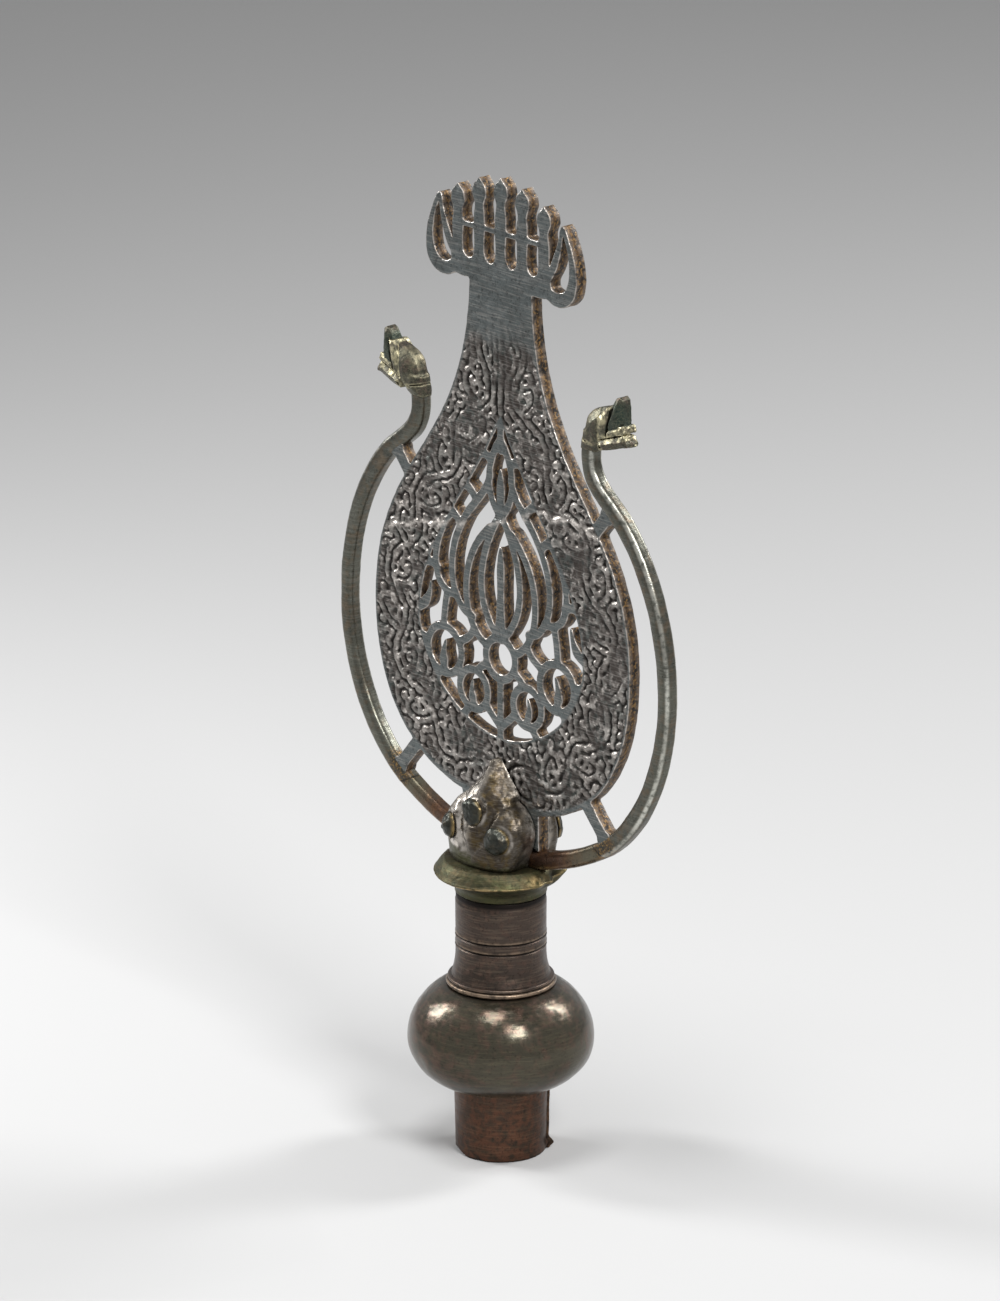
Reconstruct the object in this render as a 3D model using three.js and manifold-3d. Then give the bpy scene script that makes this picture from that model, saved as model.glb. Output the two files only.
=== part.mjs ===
// The finial of a processional standard, in cast and sheet brass.
// From the foot up: a socket tube for the pole, a hollow bulb, a neck tube and a flanged collar.
// Two clasp shells grip the tang of a pierced blade, and a hoop ending in two dragon heads
// is carried on four short struts of the blade. Nothing on it moves.
// Millimetres, +Z up, front towards -Y, origin at the centre of the socket's lower rim.

import * as THREE from 'three';
import { mergeVertices } from 'three/addons/utils/BufferGeometryUtils.js';
import { ConvexGeometry } from 'three/addons/geometries/ConvexGeometry.js';
import Module from 'manifold-3d';

const wasm = await Module();
wasm.setup();

// Clearances
const GAP = 0.3;          // between two pieces that touch on the real object
const OVERCUT = 1;        // how far a cutting body runs past the face it opens

// Shaft
const TURNED_STEPS = 32;
const SOCKET_LENGTH = 25;
const SOCKET_FOOT_R = 15.5;
const SOCKET_TOP_R = 16.1;
const SHEET_WALL = 1.6;
const SOCKET_IN_BULB = 4;
const BULB_R = 31.8;
const BULB_HEIGHT = 35;
const BULB_BELLY = 16;    // height of the widest circle above the bulb's foot
const BULB_WALL = 1.8;
const BULB_FOOT_LIP = 2.2;       // how far the bulb's foot and head stand out round their mouths
const BULB_HEAD_LIP = 2.8;
const NECK_R = 15.4;
const NECK_LENGTH = 32.8;
const NECK_WALL = 1.8;
const NECK_SPIGOT = 4;
const NECK_BEAD = 3.3;           // how far the bead stands out of the neck
const NECK_BEAD_HEIGHT = 3;
const NECK_LINES = [14.5, 18];   // heights of the two incised lines above the neck's foot
const NECK_LINE_DEPTH = 0.35;
const COLLAR_RIM = 7.4;          // how far the collar's rim and top stand out of the neck
const COLLAR_TOP = 3.6;
const COLLAR_RIM_UP = 7.5;
const COLLAR_HEIGHT = 11.8;
const COLLAR_SPIGOT = 3.8;
const COLLAR_WALL = 2;
const COLLAR_ROOF = 5.8;

// Clasp shells and their studs
const CLASP_HEIGHT = 35;
const CLASP_HALF = 20;
const FRONT_DEPTH = 14.3;
const REAR_DEPTH = 10.5;
const CLASP_WALL = 2.4;
const CLASP_ROUND = 2.3;  // exponent of the shell's cross-section: 2 is an ellipse
const STUD_R = 4.7;
const STUD_STEPS = 16;
const STUD_RISE = 2.3;
const STUD_SINK = 0.7;    // depth of the flat seat below the crown of the shell
const SHANK_R = 1.8;
const SHANK_END = 1;
const SIDE_STUD_OUT = 11.7;
const SIDE_STUD_UP = 10.9;
const TOP_RIVET_UP = 18.7;
const STUD_CROWN_FROM = 15;      // degrees up the ellipse where a head's dome leaves its edge

// Blade
const SET_BACK = 2;       // the blade's middle plane lies this far behind the shaft's axis
const PLATE_THICK = 4.8;
const PLATE_UP = 18.9;    // foot of the plate above the clasp's foot
const PLATE_HALF = 63.4;
const PLATE_WIDEST = 58;
const PLATE_HEIGHT = 179.6;
const PLATE_NECK_HALF = 15.4;
const TANG_HALF = 12.5;
const TANG_BELOW = 8.2;   // how far the tang goes below the clasp's foot
const ROOT_HALF = 19.2;   // half width of the tang between the stubs and the plate
const ROOT_UP = 6.7;      // how far that wide part starts above the clasp's foot
const PANEL_FOOT = 23;
const PANEL_HEIGHT = 111.5;
const PANEL_HALF = 40.5;
const BAR = 1.6;          // half width of a bar of the openwork

// Crest
const CREST_HEIGHT = 36.9;
const CREST_HALF = 24.5;
const CREST_BASE = 9.5;
const CREST_PITCH = 10.5;
const CREST_BAR = 2.7;    // half width of an upright
const CREST_TIE_UP = 18.2;
const CREST_TIE = 1;
const CREST_CORNER = 4;
const CREST_LEAF_OUT = 9;        // tip of the end leaf beyond the last upright, and above the crest's foot
const CREST_LEAF_UP = 26;
const CREST_STEP_DOWN = [0, 1.6, 5.4];   // how much lower each upright ends than the middle one

// Hoop
const HOOP_GAP = 15.6;    // from the plate's edge to the rod's centre at the widest
const ROD = 2.95;
const ROD_DEEP = 2.85;
const ROD_CHAMFER = 1.2;
const STUB_FLARE = 0.45;
const HOOP_END_UP = 2.2;  // centre of the rod above the clasp's foot, where it enters the clasp
const SCARF_ANGLE = 63.6; // degrees between the crosswise axis and the square to the scarf's face
const STRUT = 2.5;        // half width of a strut, and how far it is rooted in the plate
const STRUT_ROOT = 3;
const TENON_R = 1.6;
const TENON_LENGTH = 4;
const TENON_ROOT = 2;

// Places that follow from the sizes
const BULB_Z = SOCKET_LENGTH;
const NECK_Z = BULB_Z + BULB_HEIGHT + GAP;
const COLLAR_Z = NECK_Z + NECK_LENGTH + GAP;
const CLASP_Z = COLLAR_Z + COLLAR_HEIGHT + GAP;
const PLATE_Z = CLASP_Z + PLATE_UP;
const PLATE_FACE = PLATE_THICK / 2;
const SHELL_BACK = PLATE_FACE + GAP;
const NECK_BORE = NECK_R - NECK_WALL;

// Solids and meshes

function weld(geometry) {
  geometry.deleteAttribute('normal');
  geometry.deleteAttribute('uv');
  return mergeVertices(geometry, 1e-4);
}

// Signed volume of a welded geometry: negative where its faces point inwards.
function signedVolume(geometry) {
  const p = geometry.attributes.position.array;
  const index = geometry.index.array;
  let sum = 0;
  for (let i = 0; i < index.length; i += 3) {
    const a = new THREE.Vector3().fromArray(p, 3 * index[i]);
    const b = new THREE.Vector3().fromArray(p, 3 * index[i + 1]);
    const c = new THREE.Vector3().fromArray(p, 3 * index[i + 2]);
    sum += a.dot(b.cross(c)) / 6;
  }
  return sum;
}

function solid(geometry) {
  const closed = weld(geometry);
  const index = closed.index.array;
  if (signedVolume(closed) < 0) {
    for (let i = 0; i < index.length; i += 3) {
      [index[i], index[i + 1]] = [index[i + 1], index[i]];
    }
  }
  return new wasm.Manifold(new wasm.Mesh({
    numProp: 3,
    vertProperties: new Float32Array(closed.attributes.position.array),
    triVerts: new Uint32Array(index),
  }));
}

function join(solids) {
  return solids.reduce((all, next) => all.add(next));
}

const pieces = new THREE.Group();

// Everything that is built round the blade's middle plane stands on the shaft with it.
const standing = new THREE.Group();
standing.position.y = SET_BACK;
pieces.add(standing);

function place(name, body, finish, group = standing) {
  const mesh = body.getMesh();
  const geometry = new THREE.BufferGeometry();
  geometry.setAttribute('position', new THREE.BufferAttribute(mesh.vertProperties, 3));
  geometry.setIndex(new THREE.BufferAttribute(mesh.triVerts, 1));
  geometry.computeVertexNormals();
  const material = new THREE.MeshStandardMaterial({ metalness: 1, ...finish });
  const piece = new THREE.Mesh(geometry, material);
  piece.name = name;
  group.add(piece);
}

// A turned body: the profile is a closed run of [radius, height] points round the section.
function turned(profile) {
  const points = [...profile, profile[0]].map(([r, z]) => new THREE.Vector2(r, z));
  return solid(new THREE.LatheGeometry(points, TURNED_STEPS).rotateX(Math.PI / 2));
}

// A flat plate of the XZ plane, centred on it, with the outline given by [x, z] points.
function plate(outline, thick = PLATE_THICK) {
  const shape = new THREE.Shape(outline.map(([x, z]) => new THREE.Vector2(x, z)));
  const geometry = new THREE.ExtrudeGeometry(shape, { depth: thick, bevelEnabled: false });
  geometry.rotateX(Math.PI / 2);
  geometry.translate(0, thick / 2, 0);
  return solid(geometry);
}

function mirrored(points) {
  return points.map(([x, ...rest]) => [-x, ...rest]);
}

// Points of a cubic curve, without the last one when another curve goes on from there.
function curve(p0, p1, p2, p3, steps, keepEnd = true) {
  const bezier = new THREE.CubicBezierCurve(...[p0, p1, p2, p3].map((p) => new THREE.Vector2(...p)));
  const points = bezier.getPoints(steps).map((p) => [p.x, p.y]);
  return keepEnd ? points : points.slice(0, -1);
}

// Points of an arc about a centre, angles in degrees.
function arc([x, z], radius, from, to, steps) {
  return Array.from({ length: steps + 1 }, (_, i) => {
    const angle = THREE.MathUtils.degToRad(from + (to - from) * i / steps);
    return [x + radius * Math.cos(angle), z + radius * Math.sin(angle)];
  });
}

// Unit directions square to a path at each of its points.
function normals(path) {
  return path.map((_, i) => {
    const [ax, az] = path[Math.max(i - 1, 0)];
    const [bx, bz] = path[Math.min(i + 1, path.length - 1)];
    const length = Math.hypot(bx - ax, bz - az);
    return [-(bz - az) / length, (bx - ax) / length];
  });
}

// A flat bar along a path with round ends; halfAt(s) is its half width, s from 0 to 1.
function bar(path, halfAt, thick = PLATE_THICK) {
  const side = normals(path);
  const half = path.map((_, i) => halfAt(i / (path.length - 1)));
  const edge = (sign) => path.map(([x, z], i) => [
    x + sign * half[i] * side[i][0],
    z + sign * half[i] * side[i][1],
  ]);
  const cap = (i, sign) => [45, 90, 135].map((deg) => {
    const angle = THREE.MathUtils.degToRad(deg);
    const [nx, nz] = side[i];
    const across = sign * half[i] * Math.cos(angle);
    const along = sign * half[i] * Math.sin(angle);
    return [path[i][0] + across * nx + along * nz, path[i][1] + across * nz - along * nx];
  });
  const last = path.length - 1;
  return plate([...edge(1), ...cap(last, 1), ...edge(-1).reverse(), ...cap(0, -1)], thick);
}

// A rod along a path of the XZ plane, an octagon in section; halfAt(s) is half its width.
function rod(path, halfAt, deep, chamfer) {
  const side = normals(path);
  const positions = [];
  const index = [];
  const flat = deep - chamfer;
  path.forEach(([x, z], i) => {
    const half = halfAt(i / (path.length - 1));
    const face = half - chamfer;
    const ring = [
      [half, -flat], [half, flat], [face, deep], [-face, deep],
      [-half, flat], [-half, -flat], [-face, -deep], [face, -deep],
    ];
    ring.forEach(([n, y]) => positions.push(x + n * side[i][0], y, z + n * side[i][1]));
  });
  const sides = 8;
  for (let i = 0; i < path.length - 1; i += 1) {
    for (let j = 0; j < sides; j += 1) {
      const a = i * sides + j;
      const b = i * sides + (j + 1) % sides;
      index.push(a, b, b + sides, a, b + sides, a + sides);
    }
  }
  const end = (path.length - 1) * sides;
  for (let j = 1; j < sides - 1; j += 1) {
    index.push(0, j + 1, j);
    index.push(end, end + j, end + j + 1);
  }
  const geometry = new THREE.BufferGeometry();
  geometry.setAttribute('position', new THREE.Float32BufferAttribute(positions, 3));
  geometry.setIndex(index);
  return solid(geometry);
}

// A round bar from one point along a direction.
function pin(from, direction, radius, length, sides = 16) {
  const geometry = new THREE.CylinderGeometry(radius, radius, length, sides);
  geometry.translate(0, length / 2, 0);
  const turn = new THREE.Quaternion().setFromUnitVectors(new THREE.Vector3(0, 1, 0), direction);
  geometry.applyQuaternion(turn);
  geometry.translate(from.x, from.y, from.z);
  return solid(geometry);
}

function block(x0, x1, y0, y1, z0, z1) {
  const geometry = new THREE.BoxGeometry(x1 - x0, y1 - y0, z1 - z0);
  geometry.translate((x0 + x1) / 2, (y0 + y1) / 2, (z0 + z1) / 2);
  return solid(geometry);
}

// Socket tube

function socketTube() {
  const top = SOCKET_LENGTH + SOCKET_IN_BULB;
  return turned([
    [SOCKET_FOOT_R, 0],
    [SOCKET_TOP_R, SOCKET_LENGTH],
    [SOCKET_TOP_R, top],
    [SOCKET_TOP_R - SHEET_WALL, top],
    [SOCKET_FOOT_R - SHEET_WALL, 0],
  ]);
}

// Bulb: an onion section with a lip at each mouth

const LOWER_MOUTH = SOCKET_TOP_R + GAP;
const UPPER_MOUTH = NECK_R + GAP;

function bulbSection(inset) {
  const r = BULB_R - inset;
  const foot = [LOWER_MOUTH + BULB_FOOT_LIP - inset, BULB_Z];
  const head = [UPPER_MOUTH + BULB_HEAD_LIP - inset, BULB_Z + BULB_HEIGHT];
  const belly = BULB_Z + BULB_BELLY;
  return [
    ...curve(foot, [foot[0] + 6.5, BULB_Z + 2], [r, belly - 8], [r, belly], 7, false),
    ...curve([r, belly], [r, belly + 9], [head[0] + 6.5, head[1] - 2], head, 7),
  ];
}

function bulb() {
  const outer = bulbSection(0);
  const inner = bulbSection(BULB_WALL).filter(([r, z]) => (
    z > BULB_Z + SOCKET_IN_BULB && z < BULB_Z + BULB_HEIGHT - NECK_SPIGOT
  ));
  return turned([
    ...outer,
    [UPPER_MOUTH, BULB_Z + BULB_HEIGHT],
    [UPPER_MOUTH, BULB_Z + BULB_HEIGHT - NECK_SPIGOT],
    ...inner.reverse(),
    [LOWER_MOUTH, BULB_Z + SOCKET_IN_BULB],
    [LOWER_MOUTH, BULB_Z],
  ]);
}

// Neck tube: a double bead at its foot, a short flare and two incised lines

function neckTube() {
  const line = (rise) => [
    [NECK_R, NECK_Z + rise - NECK_LINE_DEPTH],
    [NECK_R - NECK_LINE_DEPTH, NECK_Z + rise],
    [NECK_R, NECK_Z + rise + NECK_LINE_DEPTH],
  ];
  const bead = NECK_R + NECK_BEAD;
  const foot = NECK_Z + NECK_BEAD_HEIGHT;
  return turned([
    [NECK_R, NECK_Z],
    [bead - 0.4, NECK_Z],
    [bead, NECK_Z + NECK_BEAD_HEIGHT / 4],
    [bead - 0.5, NECK_Z + NECK_BEAD_HEIGHT / 2],
    [bead - 0.7, NECK_Z + NECK_BEAD_HEIGHT * 3 / 4],
    [bead - 1.4, foot],
    ...curve(
      [NECK_R + 1.4, foot],
      [NECK_R + 0.8, foot + 2],
      [NECK_R, foot + 4],
      [NECK_R, foot + 8],
      4,
    ),
    ...NECK_LINES.flatMap(line),
    [NECK_R, NECK_Z + NECK_LENGTH],
    [NECK_BORE, NECK_Z + NECK_LENGTH],
    [NECK_BORE, NECK_Z - NECK_SPIGOT],
    [NECK_R, NECK_Z - NECK_SPIGOT],
  ]);
}

// Flanged collar: a spigot in the neck, a cyma up to a sharp rim, and a slot for the tang

function flangeCollar() {
  const rim = COLLAR_Z + COLLAR_RIM_UP;
  const top = COLLAR_Z + COLLAR_HEIGHT;
  const rimR = NECK_R + COLLAR_RIM;
  const topR = NECK_R + COLLAR_TOP;
  const spigot = NECK_BORE - GAP;
  // The profile keeps clear of the axis by a hair, and a thin core closes it there.
  const hair = 0.01;
  const body = turned([
    [spigot, COLLAR_Z - COLLAR_SPIGOT],
    [spigot, COLLAR_Z],
    ...curve(
      [NECK_R, COLLAR_Z],
      [NECK_R + 1.4, COLLAR_Z + 4],
      [rimR - 3.4, rim - 3],
      [rimR, rim],
      6,
      false,
    ),
    ...curve([rimR, rim], [rimR - 0.5, rim + 2], [topR + 1.4, top - 1], [topR, top], 4),
    [hair, top],
    [hair, top - COLLAR_ROOF],
    [spigot - COLLAR_WALL, top - COLLAR_ROOF],
    [spigot - COLLAR_WALL, COLLAR_Z - COLLAR_SPIGOT],
  ]);
  const core = pin(
    new THREE.Vector3(0, 0, top - COLLAR_ROOF),
    new THREE.Vector3(0, 0, 1),
    1,
    COLLAR_ROOF,
  );
  const slot = block(
    -TANG_HALF - GAP,
    TANG_HALF + GAP,
    SET_BACK - PLATE_FACE - GAP,
    SET_BACK + PLATE_FACE + GAP,
    CLASP_Z - TANG_BELOW - GAP,
    top + OVERCUT,
  );
  const groove = hoopParts(GAP).stub.translate([0, SET_BACK, 0]);
  return body
    .add(core)
    .subtract(slot)
    .subtract(groove)
    .subtract(groove.mirror([1, 0, 0]));
}

// Hoop: the rod's centre line from the head down to the clasp, on the +X side

const HOOP_HALF = PLATE_HALF + HOOP_GAP;
const HOOP_END = [TANG_HALF + GAP + 0.5, CLASP_Z + HOOP_END_UP - PLATE_Z];
const HEAD_END = [HOOP_HALF - 36.9, PLATE_WIDEST + 75.5];
const SHOULDER = [HOOP_HALF - 19.4, PLATE_WIDEST + 51];
const SCARF = [HOOP_HALF - 30.6, -4.5];

function up([x, v]) {
  return [x, PLATE_Z + v];
}

function upperHoop() {
  return [
    ...curve(
      HEAD_END,
      [HEAD_END[0] - 1.5, HEAD_END[1] - 14],
      [SHOULDER[0] - 8.8, SHOULDER[1] + 10],
      SHOULDER,
      9,
      false,
    ),
    ...curve(
      SHOULDER,
      [SHOULDER[0] + 11.2, SHOULDER[1] - 12.5],
      [HOOP_HALF, PLATE_WIDEST + 20],
      [HOOP_HALF, PLATE_WIDEST - 3],
      10,
      false,
    ),
    ...curve(
      [HOOP_HALF, PLATE_WIDEST - 3],
      [HOOP_HALF, PLATE_WIDEST - 28],
      [SCARF[0] + 18.4, SCARF[1] + 10.5],
      SCARF,
      12,
    ),
  ].map(up);
}

function lowerHoop() {
  return curve(
    SCARF,
    [SCARF[0] - 9.6, SCARF[1] - 5.5],
    [HOOP_END[0] + 12, HOOP_END[1] + 1.2],
    HOOP_END,
    8,
  ).map(up);
}

// A path with its last point moved on by a length.
function lengthened(path, by) {
  const [[ax, az], [bx, bz]] = path.slice(-2);
  const share = by / Math.hypot(bx - ax, bz - az);
  return [...path.slice(0, -1), [bx + (bx - ax) * share, bz + (bz - az) * share]];
}

// The two parts of the rod run past the scarf, and a slanted cut parts them.
function hoopParts(grow) {
  const upper = upperHoop();
  const lower = lengthened(lowerHoop(), grow);
  const over = 3;
  const arm = rod(
    [...upper, ...lower.slice(1, over)],
    () => ROD + grow,
    ROD_DEEP + grow,
    ROD_CHAMFER,
  );
  const stub = rod(
    [...upper.slice(-over, -1), ...lower],
    (s) => ROD + grow + STUB_FLARE * s ** 3,
    ROD_DEEP + grow,
    ROD_CHAMFER,
  );
  return { arm, stub };
}

// A large block whose one face is the scarf's plane, moved by half the gap.
function scarfCutter(sign) {
  const size = 60;
  const geometry = new THREE.BoxGeometry(size, size, size);
  geometry.translate(sign * (size / 2 - GAP / 2), 0, 0);
  geometry.rotateY(-THREE.MathUtils.degToRad(SCARF_ANGLE));
  const [x, z] = up(SCARF);
  geometry.translate(x, 0, z);
  return solid(geometry);
}

// Blade

const RIGHT_LOWER = (steps) => curve(
  [TANG_HALF, -1],
  [PLATE_HALF - 15.4, 3],
  [PLATE_HALF, PLATE_WIDEST - 31],
  [PLATE_HALF, PLATE_WIDEST],
  steps,
  false,
);
const RIGHT_UPPER = (steps) => curve(
  [PLATE_HALF, PLATE_WIDEST],
  [PLATE_HALF, PLATE_WIDEST + 54],
  [PLATE_NECK_HALF + 1.2, PLATE_HEIGHT - 61.5],
  [PLATE_NECK_HALF, PLATE_HEIGHT],
  steps,
);

function plateOutline() {
  const right = [...RIGHT_LOWER(14), ...RIGHT_UPPER(22)];
  return [...right, ...mirrored(right).reverse()].map(up);
}

function panelOutline() {
  const belly = PANEL_FOOT + 35;
  const tip = PANEL_FOOT + PANEL_HEIGHT;
  const right = [
    ...curve(
      [0, PANEL_FOOT],
      [PANEL_HALF / 2, PANEL_FOOT],
      [PANEL_HALF, belly - 18],
      [PANEL_HALF, belly],
      12,
      false,
    ),
    ...curve([PANEL_HALF, belly], [PANEL_HALF, belly + 26], [14, tip - 28.5], [0, tip], 16),
  ];
  return [...right, ...mirrored(right).reverse().slice(1, -1)].map(up);
}

// The openwork is drawn on a grid 40 wide each way and 112 high, stretched to the panel.
const GRID_HALF = 40;
const GRID_HEIGHT = 112;

function onPanel([x, v]) {
  return up([x * PANEL_HALF / GRID_HALF, PANEL_FOOT + v * PANEL_HEIGHT / GRID_HEIGHT]);
}

const even = () => BAR;
const bud = (from, widest, to) => (s) => (
  (s < 0.4 ? from + (widest - from) * s / 0.4 : widest + (to - widest) * (s - 0.4) / 0.6)
);

// A closed ring as two half turns, whose round ends lie over each other.
function ring(centre, radius, steps) {
  const half = (from) => [arc(centre, radius, from, from + 180, steps / 2), even];
  return [half(0), half(180)];
}

// Stem, ring, two mandorlas and their buds on the axis.
function middleVines() {
  return [
    [[[0, -3], [0, 20]], even],
    ...ring([0, 28], 7.2, 20),
    [[[-1, 28 + 7.2], [0, 36], [0, 48], [0, 67]], bud(1.5, 3, 0.5)],
    [[[0, 78], [0, 84], [0, 94]], bud(1.3, 2.3, 0.5)],
    [[[0, 101], [0, 116]], () => 1.7],
  ];
}

// Vines of one side: arches beside the mandorla, rings with buds, and ties to the border.
function sideVines() {
  const tie = (s) => BAR + 0.3 * s;
  return [
    [curve([0, 34.5], [14.5, 45.5], [10.5, 63.5], [0, 79], 12), even],
    [curve([0, 77.5], [8.5, 85.5], [6.5, 96], [0, 105], 9), even],
    [curve([6.4, 31], [20, 35.5], [21.5, 60.5], [4.8, 73], 12), even],
    [curve([13.5, 39.5], [25, 40.5], [30.5, 61.5], [12, 80.5], 12), even],
    [curve([12, 80.5], [8.5, 84.5], [6.5, 86.5], [5, 91.5], 5), even],
    [curve([21.5, 45.5], [33, 43.5], [37, 58.5], [24, 74.5], 10), even],
    [curve([19.5, 70.5], [21, 72.5], [23, 74.5], [26.5, 75.5], 4), tie],
    [curve([11.5, 81], [14, 83.5], [16, 85.5], [20, 86.5], 4), tie],
    [curve([31, 53], [34, 54.5], [37, 54.5], [41, 53.5], 4), tie],
    [curve([4.4, 96.5], [7, 98.5], [9, 98.5], [12.5, 98.5], 4), tie],
    ...ring([13.2, 14], 6.9, 18),
    ...ring([27.6, 24.5], 8.3, 20),
    [curve([0, 3.5], [3, 6.5], [5, 7.5], [7.2, 10.5], 4), even],
    [curve([6.6, 24.5], [9, 23.5], [10, 22.5], [11.5, 20.9], 4), even],
    [[[19.2, 17], [21.4, 19]], even],
    [curve([15, 7.5], [17, 5], [19, 3.5], [21, -0.5], 4), tie],
    [curve([30, 16.5], [32, 13.5], [33, 11.5], [36, 9], 4), tie],
    [curve([20.5, 29], [17, 31], [14.5, 32], [13, 35.5], 4), even],
    [[[35.8, 26.5], [43, 27.5]], tie],
    [curve([28, 32.8], [28, 37.5], [27, 41.5], [26.5, 44.5], 4), even],
    [curve([27.2, 16.7], [28.5, 20], [28.8, 23], [27, 28], 5), bud(1.2, 2.3, 0.5)],
    [curve([12.2, 8.1], [14, 10], [14.8, 13], [13.6, 17], 5), bud(1, 1.9, 0.5)],
    [curve([40.8, 36.5], [37, 38.5], [35, 41.5], [34.4, 47], 5), bud(1.6, 2.1, 0.5)],
  ];
}

function openwork() {
  const side = sideVines();
  const vines = [...middleVines(), ...side, ...side.map(([path, half]) => [mirrored(path), half])];
  const past = PLATE_THICK + 2 * OVERCUT;
  const bars = vines.map(([path, half]) => bar(path.map(onPanel), half, past));
  return plate(panelOutline(), PLATE_THICK + OVERCUT).subtract(join(bars));
}

// A short strut from a point of the plate's edge to the nearest point of the hoop: its round
// end stops at the rod's centre.
function strut(edge) {
  const [ex, ez] = up(edge);
  const distance = ([x, z]) => Math.hypot(x - ex, z - ez);
  const hoop = [...upperHoop(), ...lowerHoop()];
  const near = hoop.reduce((best, point) => (distance(point) < distance(best) ? point : best));
  const span = distance(near);
  const along = (reach) => [
    ex + (near[0] - ex) * reach / span,
    ez + (near[1] - ez) * reach / span,
  ];
  return [along(-STRUT_ROOT), along(span - STRUT)];
}

function struts() {
  const flat = () => STRUT;
  const roots = [RIGHT_LOWER(20)[7], RIGHT_UPPER(10)[4]];
  return roots.map(strut).flatMap((path) => [bar(path, flat), bar(mirrored(path), flat)]);
}

// Crest: a comb of spear-leaf uprights on a low base, tied by a thin bar, a pierced leaf at each end.
function crest() {
  const foot = PLATE_HEIGHT;
  const upright = (x, lower) => {
    const top = CREST_HEIGHT - lower;
    const widths = [CREST_BAR, CREST_BAR, CREST_BAR - 0.5, CREST_BAR + 0.9, CREST_BAR + 0.2, 0.3];
    const heights = [CREST_BASE - 3, top - 13, top - 9.5, top - 6, top - 3, top - 0.3];
    return bar(heights.map((v) => up([x, foot + v])), (s) => widths[Math.round(s * 5)]);
  };
  const ranks = CREST_STEP_DOWN.length - 1;
  const uprights = CREST_STEP_DOWN.flatMap((lower, i) => {
    const out = i * CREST_PITCH;
    return i === 0 ? [upright(out, lower)] : [upright(out, lower), upright(-out, lower)];
  });
  const outermost = CREST_PITCH * ranks;
  const tieUp = foot + CREST_TIE_UP;
  const tie = bar([[-outermost, tieUp], [outermost, tieUp]].map(up), () => CREST_TIE);
  const leafTip = [outermost + CREST_LEAF_OUT, foot + CREST_LEAF_UP];
  const outerLeaf = curve(
    [outermost + 1.2, foot + 2.8],
    [outermost + CREST_LEAF_OUT + 4, foot - 3.5],
    [outermost + CREST_LEAF_OUT + 10, foot + 9],
    leafTip,
    9,
  );
  const innerLeaf = curve(
    [outermost + 2, foot + 7],
    [outermost + 5, foot + 12],
    [outermost + 7.5, foot + 17],
    leafTip,
    6,
  );
  const leaf = [[outerLeaf, bud(2.4, 2.6, 0.7)], [innerLeaf, bud(1.5, 1.7, 0.7)]];
  const leaves = leaf.flatMap(([path, half]) => [
    bar(path.map(up), half),
    bar(mirrored(path).map(up), half),
  ]);
  const cornerX = CREST_HALF - CREST_CORNER;
  const base = plate([
    ...arc([-cornerX, foot + CREST_CORNER], CREST_CORNER, -180, -90, 4),
    ...arc([cornerX, foot + CREST_CORNER], CREST_CORNER, -90, 0, 4),
    [CREST_HALF, foot + CREST_BASE],
    [-CREST_HALF, foot + CREST_BASE],
  ].map(up));
  const gapHalf = CREST_PITCH / 2 - CREST_BAR;
  const gaps = Array.from({ length: 2 * ranks }, (_, i) => {
    const centre = [(i + 0.5 - ranks) * CREST_PITCH, foot + CREST_BASE];
    return plate(arc(centre, gapHalf, 0, 345, 15).map(up), PLATE_THICK + OVERCUT);
  });
  return join([base.subtract(join(gaps)), ...uprights, tie, ...leaves]);
}

function blade() {
  const tang = block(
    -TANG_HALF,
    TANG_HALF,
    -PLATE_FACE,
    PLATE_FACE,
    CLASP_Z - TANG_BELOW,
    PLATE_Z + 4,
  );
  const root = block(
    -ROOT_HALF,
    ROOT_HALF,
    -PLATE_FACE,
    PLATE_FACE,
    CLASP_Z + ROOT_UP,
    PLATE_Z + 1,
  );
  const rivetHole = pin(
    new THREE.Vector3(0, -PLATE_THICK, CLASP_Z + TOP_RIVET_UP),
    new THREE.Vector3(0, 1, 0),
    SHANK_R + GAP,
    2 * PLATE_THICK,
  );
  const { arm, stub } = hoopParts(GAP);
  const whole = join([plate(plateOutline()), tang, root, crest(), ...struts()]);
  return whole
    .subtract(openwork())
    .subtract(rivetHole)
    .subtract(arm)
    .subtract(stub)
    .subtract(arm.mirror([1, 0, 0]))
    .subtract(stub.mirror([1, 0, 0]));
}

// Clasp shells: a trefoil dome, hollow behind, on each face of the plate

// Rows of [share of the height, share of the half width, share of the depth].
const SHELL_ROWS = [
  [0, 0.93, 0.96], [0.1, 0.96, 0.98], [0.22, 0.99, 1], [0.34, 1, 0.97], [0.45, 0.93, 0.91],
  [0.55, 0.79, 0.82], [0.63, 0.64, 0.72], [0.68, 0.61, 0.65], [0.76, 0.5, 0.55],
  [0.85, 0.34, 0.43], [0.93, 0.18, 0.33], [1, 0.04, 0.22],
];

function shellDepth(x, rise, deepest) {
  const share = rise / CLASP_HEIGHT;
  const next = SHELL_ROWS.findIndex(([h]) => h >= share);
  const [h1, w1, d1] = SHELL_ROWS[next];
  const [h0, w0, d0] = SHELL_ROWS[Math.max(next - 1, 0)];
  const t = h1 > h0 ? (share - h0) / (h1 - h0) : 0;
  const half = CLASP_HALF * (w0 + (w1 - w0) * t);
  const depth = deepest * (d0 + (d1 - d0) * t);
  return depth * (1 - Math.abs(x / half) ** CLASP_ROUND) ** (1 / CLASP_ROUND);
}

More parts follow.
